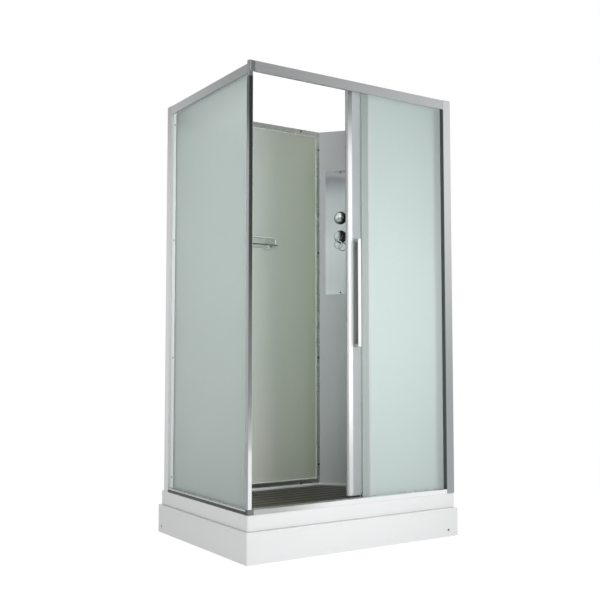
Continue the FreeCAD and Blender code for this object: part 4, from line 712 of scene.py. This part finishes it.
def make_floor():
    """Pale floor that keeps the object's shadow and looks white to the camera and in mirrors."""
    shape = bmesh.new()
    bmesh.ops.create_grid(shape, x_segments=1, y_segments=1, size=4.5)
    mesh = bpy.data.meshes.new("floor")
    shape.to_mesh(mesh)
    shape.free()
    floor = bpy.data.objects.new("floor", mesh)
    scene.collection.objects.link(floor)
    finish, tree, shader = new_finish("pale floor")
    shader.inputs["Base Color"].default_value = (0.88, 0.88, 0.88, 1)
    shader.inputs["Roughness"].default_value = 0.9
    add, link = tree.nodes.new, tree.links.new
    glow = add("ShaderNodeEmission")
    glow.inputs["Strength"].default_value = 1.1
    ray = add("ShaderNodeLightPath")
    mirrored = maths(tree, "MAXIMUM", ray.outputs["Is Glossy Ray"], ray.outputs["Is Transmission Ray"])
    seen = maths(tree, "MAXIMUM", ray.outputs["Is Camera Ray"], mirrored)
    glow_share = add("ShaderNodeMapRange")
    glow_share.inputs["To Min"].default_value = 0.2
    glow_share.inputs["To Max"].default_value = 0.88
    link(seen, glow_share.inputs["Value"])
    mixed = add("ShaderNodeMixShader")
    link(glow_share.outputs["Result"], mixed.inputs["Fac"])
    link(shader.outputs["BSDF"], mixed.inputs[1])
    link(glow.outputs["Emission"], mixed.inputs[2])
    link(mixed.outputs["Shader"], tree.nodes["Material Output"].inputs["Surface"])
    mesh.materials.append(finish)


make_floor()


def make_room():
    """World whose grey level depends on height and on the bearing from the front, white to the camera."""
    world = bpy.data.worlds.new("room")
    scene.world = world
    world.use_nodes = True
    tree = world.node_tree
    add, link = tree.nodes.new, tree.links.new
    place = add("ShaderNodeTexCoord")
    axes = add("ShaderNodeSeparateXYZ")
    link(place.outputs["Generated"], axes.inputs[0])
    towards_front = maths(tree, "MULTIPLY", axes.outputs["Y"], -1.0)
    rightward = maths(tree, "ARCTAN2", axes.outputs["X"], towards_front)
    leftward = maths(tree, "MULTIPLY", rightward, -1.0)
    lowest = -0.2
    rise = add("ShaderNodeMapRange")
    rise.inputs["From Min"].default_value = lowest
    link(axes.outputs["Z"], rise.inputs["Value"])

    def fade(angle, low, high):
        """Share that goes from 0 to 1 between two angles in degrees."""
        node = add("ShaderNodeMapRange")
        node.interpolation_type = "SMOOTHSTEP"
        node.inputs["From Min"].default_value = math.radians(low)
        node.inputs["From Max"].default_value = math.radians(high)
        link(angle, node.inputs["Value"])
        return node.outputs["Result"]

    def ramp(*stops):
        """Colour by height, from stops of sine of elevation and grey level, slightly green in the darks."""
        node = add("ShaderNodeValToRGB")
        bands = node.color_ramp
        for number, (sine, level) in enumerate(stops):
            place_up = (sine - lowest) / (1.0 - lowest)
            stop = bands.elements[0] if number == 0 else bands.elements.new(place_up)
            stop.position = place_up
            cool = 0.05 * (1.0 - level)
            stop.color = (level * (1 - cool), level, level * (1 - cool / 2), 1)
        bands.elements.remove(bands.elements[-1])
        link(rise.outputs["Result"], node.inputs["Fac"])
        return node.outputs["Color"]

    front_walls = ramp((-0.2, 0.98), (0.222, 0.98), (0.275, 0.35), (0.45, 0.40), (0.8, 0.60))
    left_walls = ramp((-0.2, 0.75), (0.10, 0.72), (0.17, 0.24), (0.45, 0.32), (0.8, 0.60))
    dark_strip = ramp((-0.115, 0.68), (-0.09, 0.52), (-0.07, 0.38), (-0.05, 0.27), (-0.03, 0.23),
                      (0.03, 0.18), (0.12, 0.06), (0.25, 0.03))
    walls = blend(tree, fade(rightward, 40.0, 46.0), front_walls, (0.95, 0.95, 0.95, 1))
    on_left = maths(tree, "SUBTRACT", fade(leftward, 40.0, 60.0), fade(leftward, 95.0, 115.0))
    walls = blend(tree, on_left, walls, left_walls)
    strip_bearing = math.radians(29.5)
    off_strip = maths(tree, "ABSOLUTE", maths(tree, "SUBTRACT", rightward, strip_bearing))
    around = tree.nodes["Background"]
    link(blend(tree, fade(off_strip, 2.8, 5.5), dark_strip, walls), around.inputs["Color"])
    ray = add("ShaderNodeLightPath")
    mirrored = maths(tree, "MAXIMUM", ray.outputs["Is Glossy Ray"], ray.outputs["Is Transmission Ray"])
    plain_light, mirror_extra = 0.44, 0.74
    link(maths(tree, "MULTIPLY_ADD", mirrored, mirror_extra, plain_light), around.inputs["Strength"])
    white = add("ShaderNodeBackground")
    white.inputs["Color"].default_value = (1, 1, 1, 1)
    mixed = add("ShaderNodeMixShader")
    link(ray.outputs["Is Camera Ray"], mixed.inputs["Fac"])
    link(around.outputs["Background"], mixed.inputs[1])
    link(white.outputs["Background"], mixed.inputs[2])
    link(mixed.outputs["Shader"], tree.nodes["World Output"].inputs["Surface"])


make_room()


def soft_lamp(name, place, aim, size, power, spread=180.0):
    """Softbox at a place, turned to an aim, that mirrors and the camera don't see."""
    lamp = bpy.data.lights.new(name, "AREA")
    lamp.shape = "RECTANGLE"
    lamp.size, lamp.size_y = size
    lamp.energy = power
    lamp.spread = math.radians(spread)
    holder = bpy.data.objects.new(name, lamp)
    scene.collection.objects.link(holder)
    holder.location = place
    holder.rotation_euler = (Vector(aim) - Vector(place)).to_track_quat("-Z", "Y").to_euler()
    holder.visible_glossy = False
    holder.visible_camera = False


soft_lamp("front softbox", (0.15, -2.25, 1.2), (0.25, -0.2, 1.15), (0.9, 0.9), power=11, spread=120.0)
soft_lamp("key softbox", (-1.5, -3.1, 1.25), (0.0, 0.0, 1.0), (1.0, 1.1), power=31)
soft_lamp("side softbox", (-2.4, -0.1, 1.45), (-0.57, -0.1, 1.5), (0.9, 0.9), power=7.5, spread=120.0)
soft_lamp("top softbox", (0.0, -0.2, 4.6), (0.0, 0.0, 0.0), (2.4, 2.0), power=20)


def make_camera(place, yaw, pitch, lens):
    """Camera that looks along a bearing from the back and an angle upwards, both in degrees."""
    view = bpy.data.cameras.new("camera")
    view.sensor_width = 36.0
    view.lens = lens
    holder = bpy.data.objects.new("camera", view)
    scene.collection.objects.link(holder)
    holder.location = place
    turn, tilt = math.radians(yaw), math.radians(pitch)
    forward = Vector((math.sin(turn) * math.cos(tilt), math.cos(turn) * math.cos(tilt), math.sin(tilt)))
    holder.rotation_euler = forward.to_track_quat("-Z", "Y").to_euler()
    scene.camera = holder


make_camera((-2.471, -3.729, 0.873), yaw=33.12, pitch=3.82, lens=52.81)
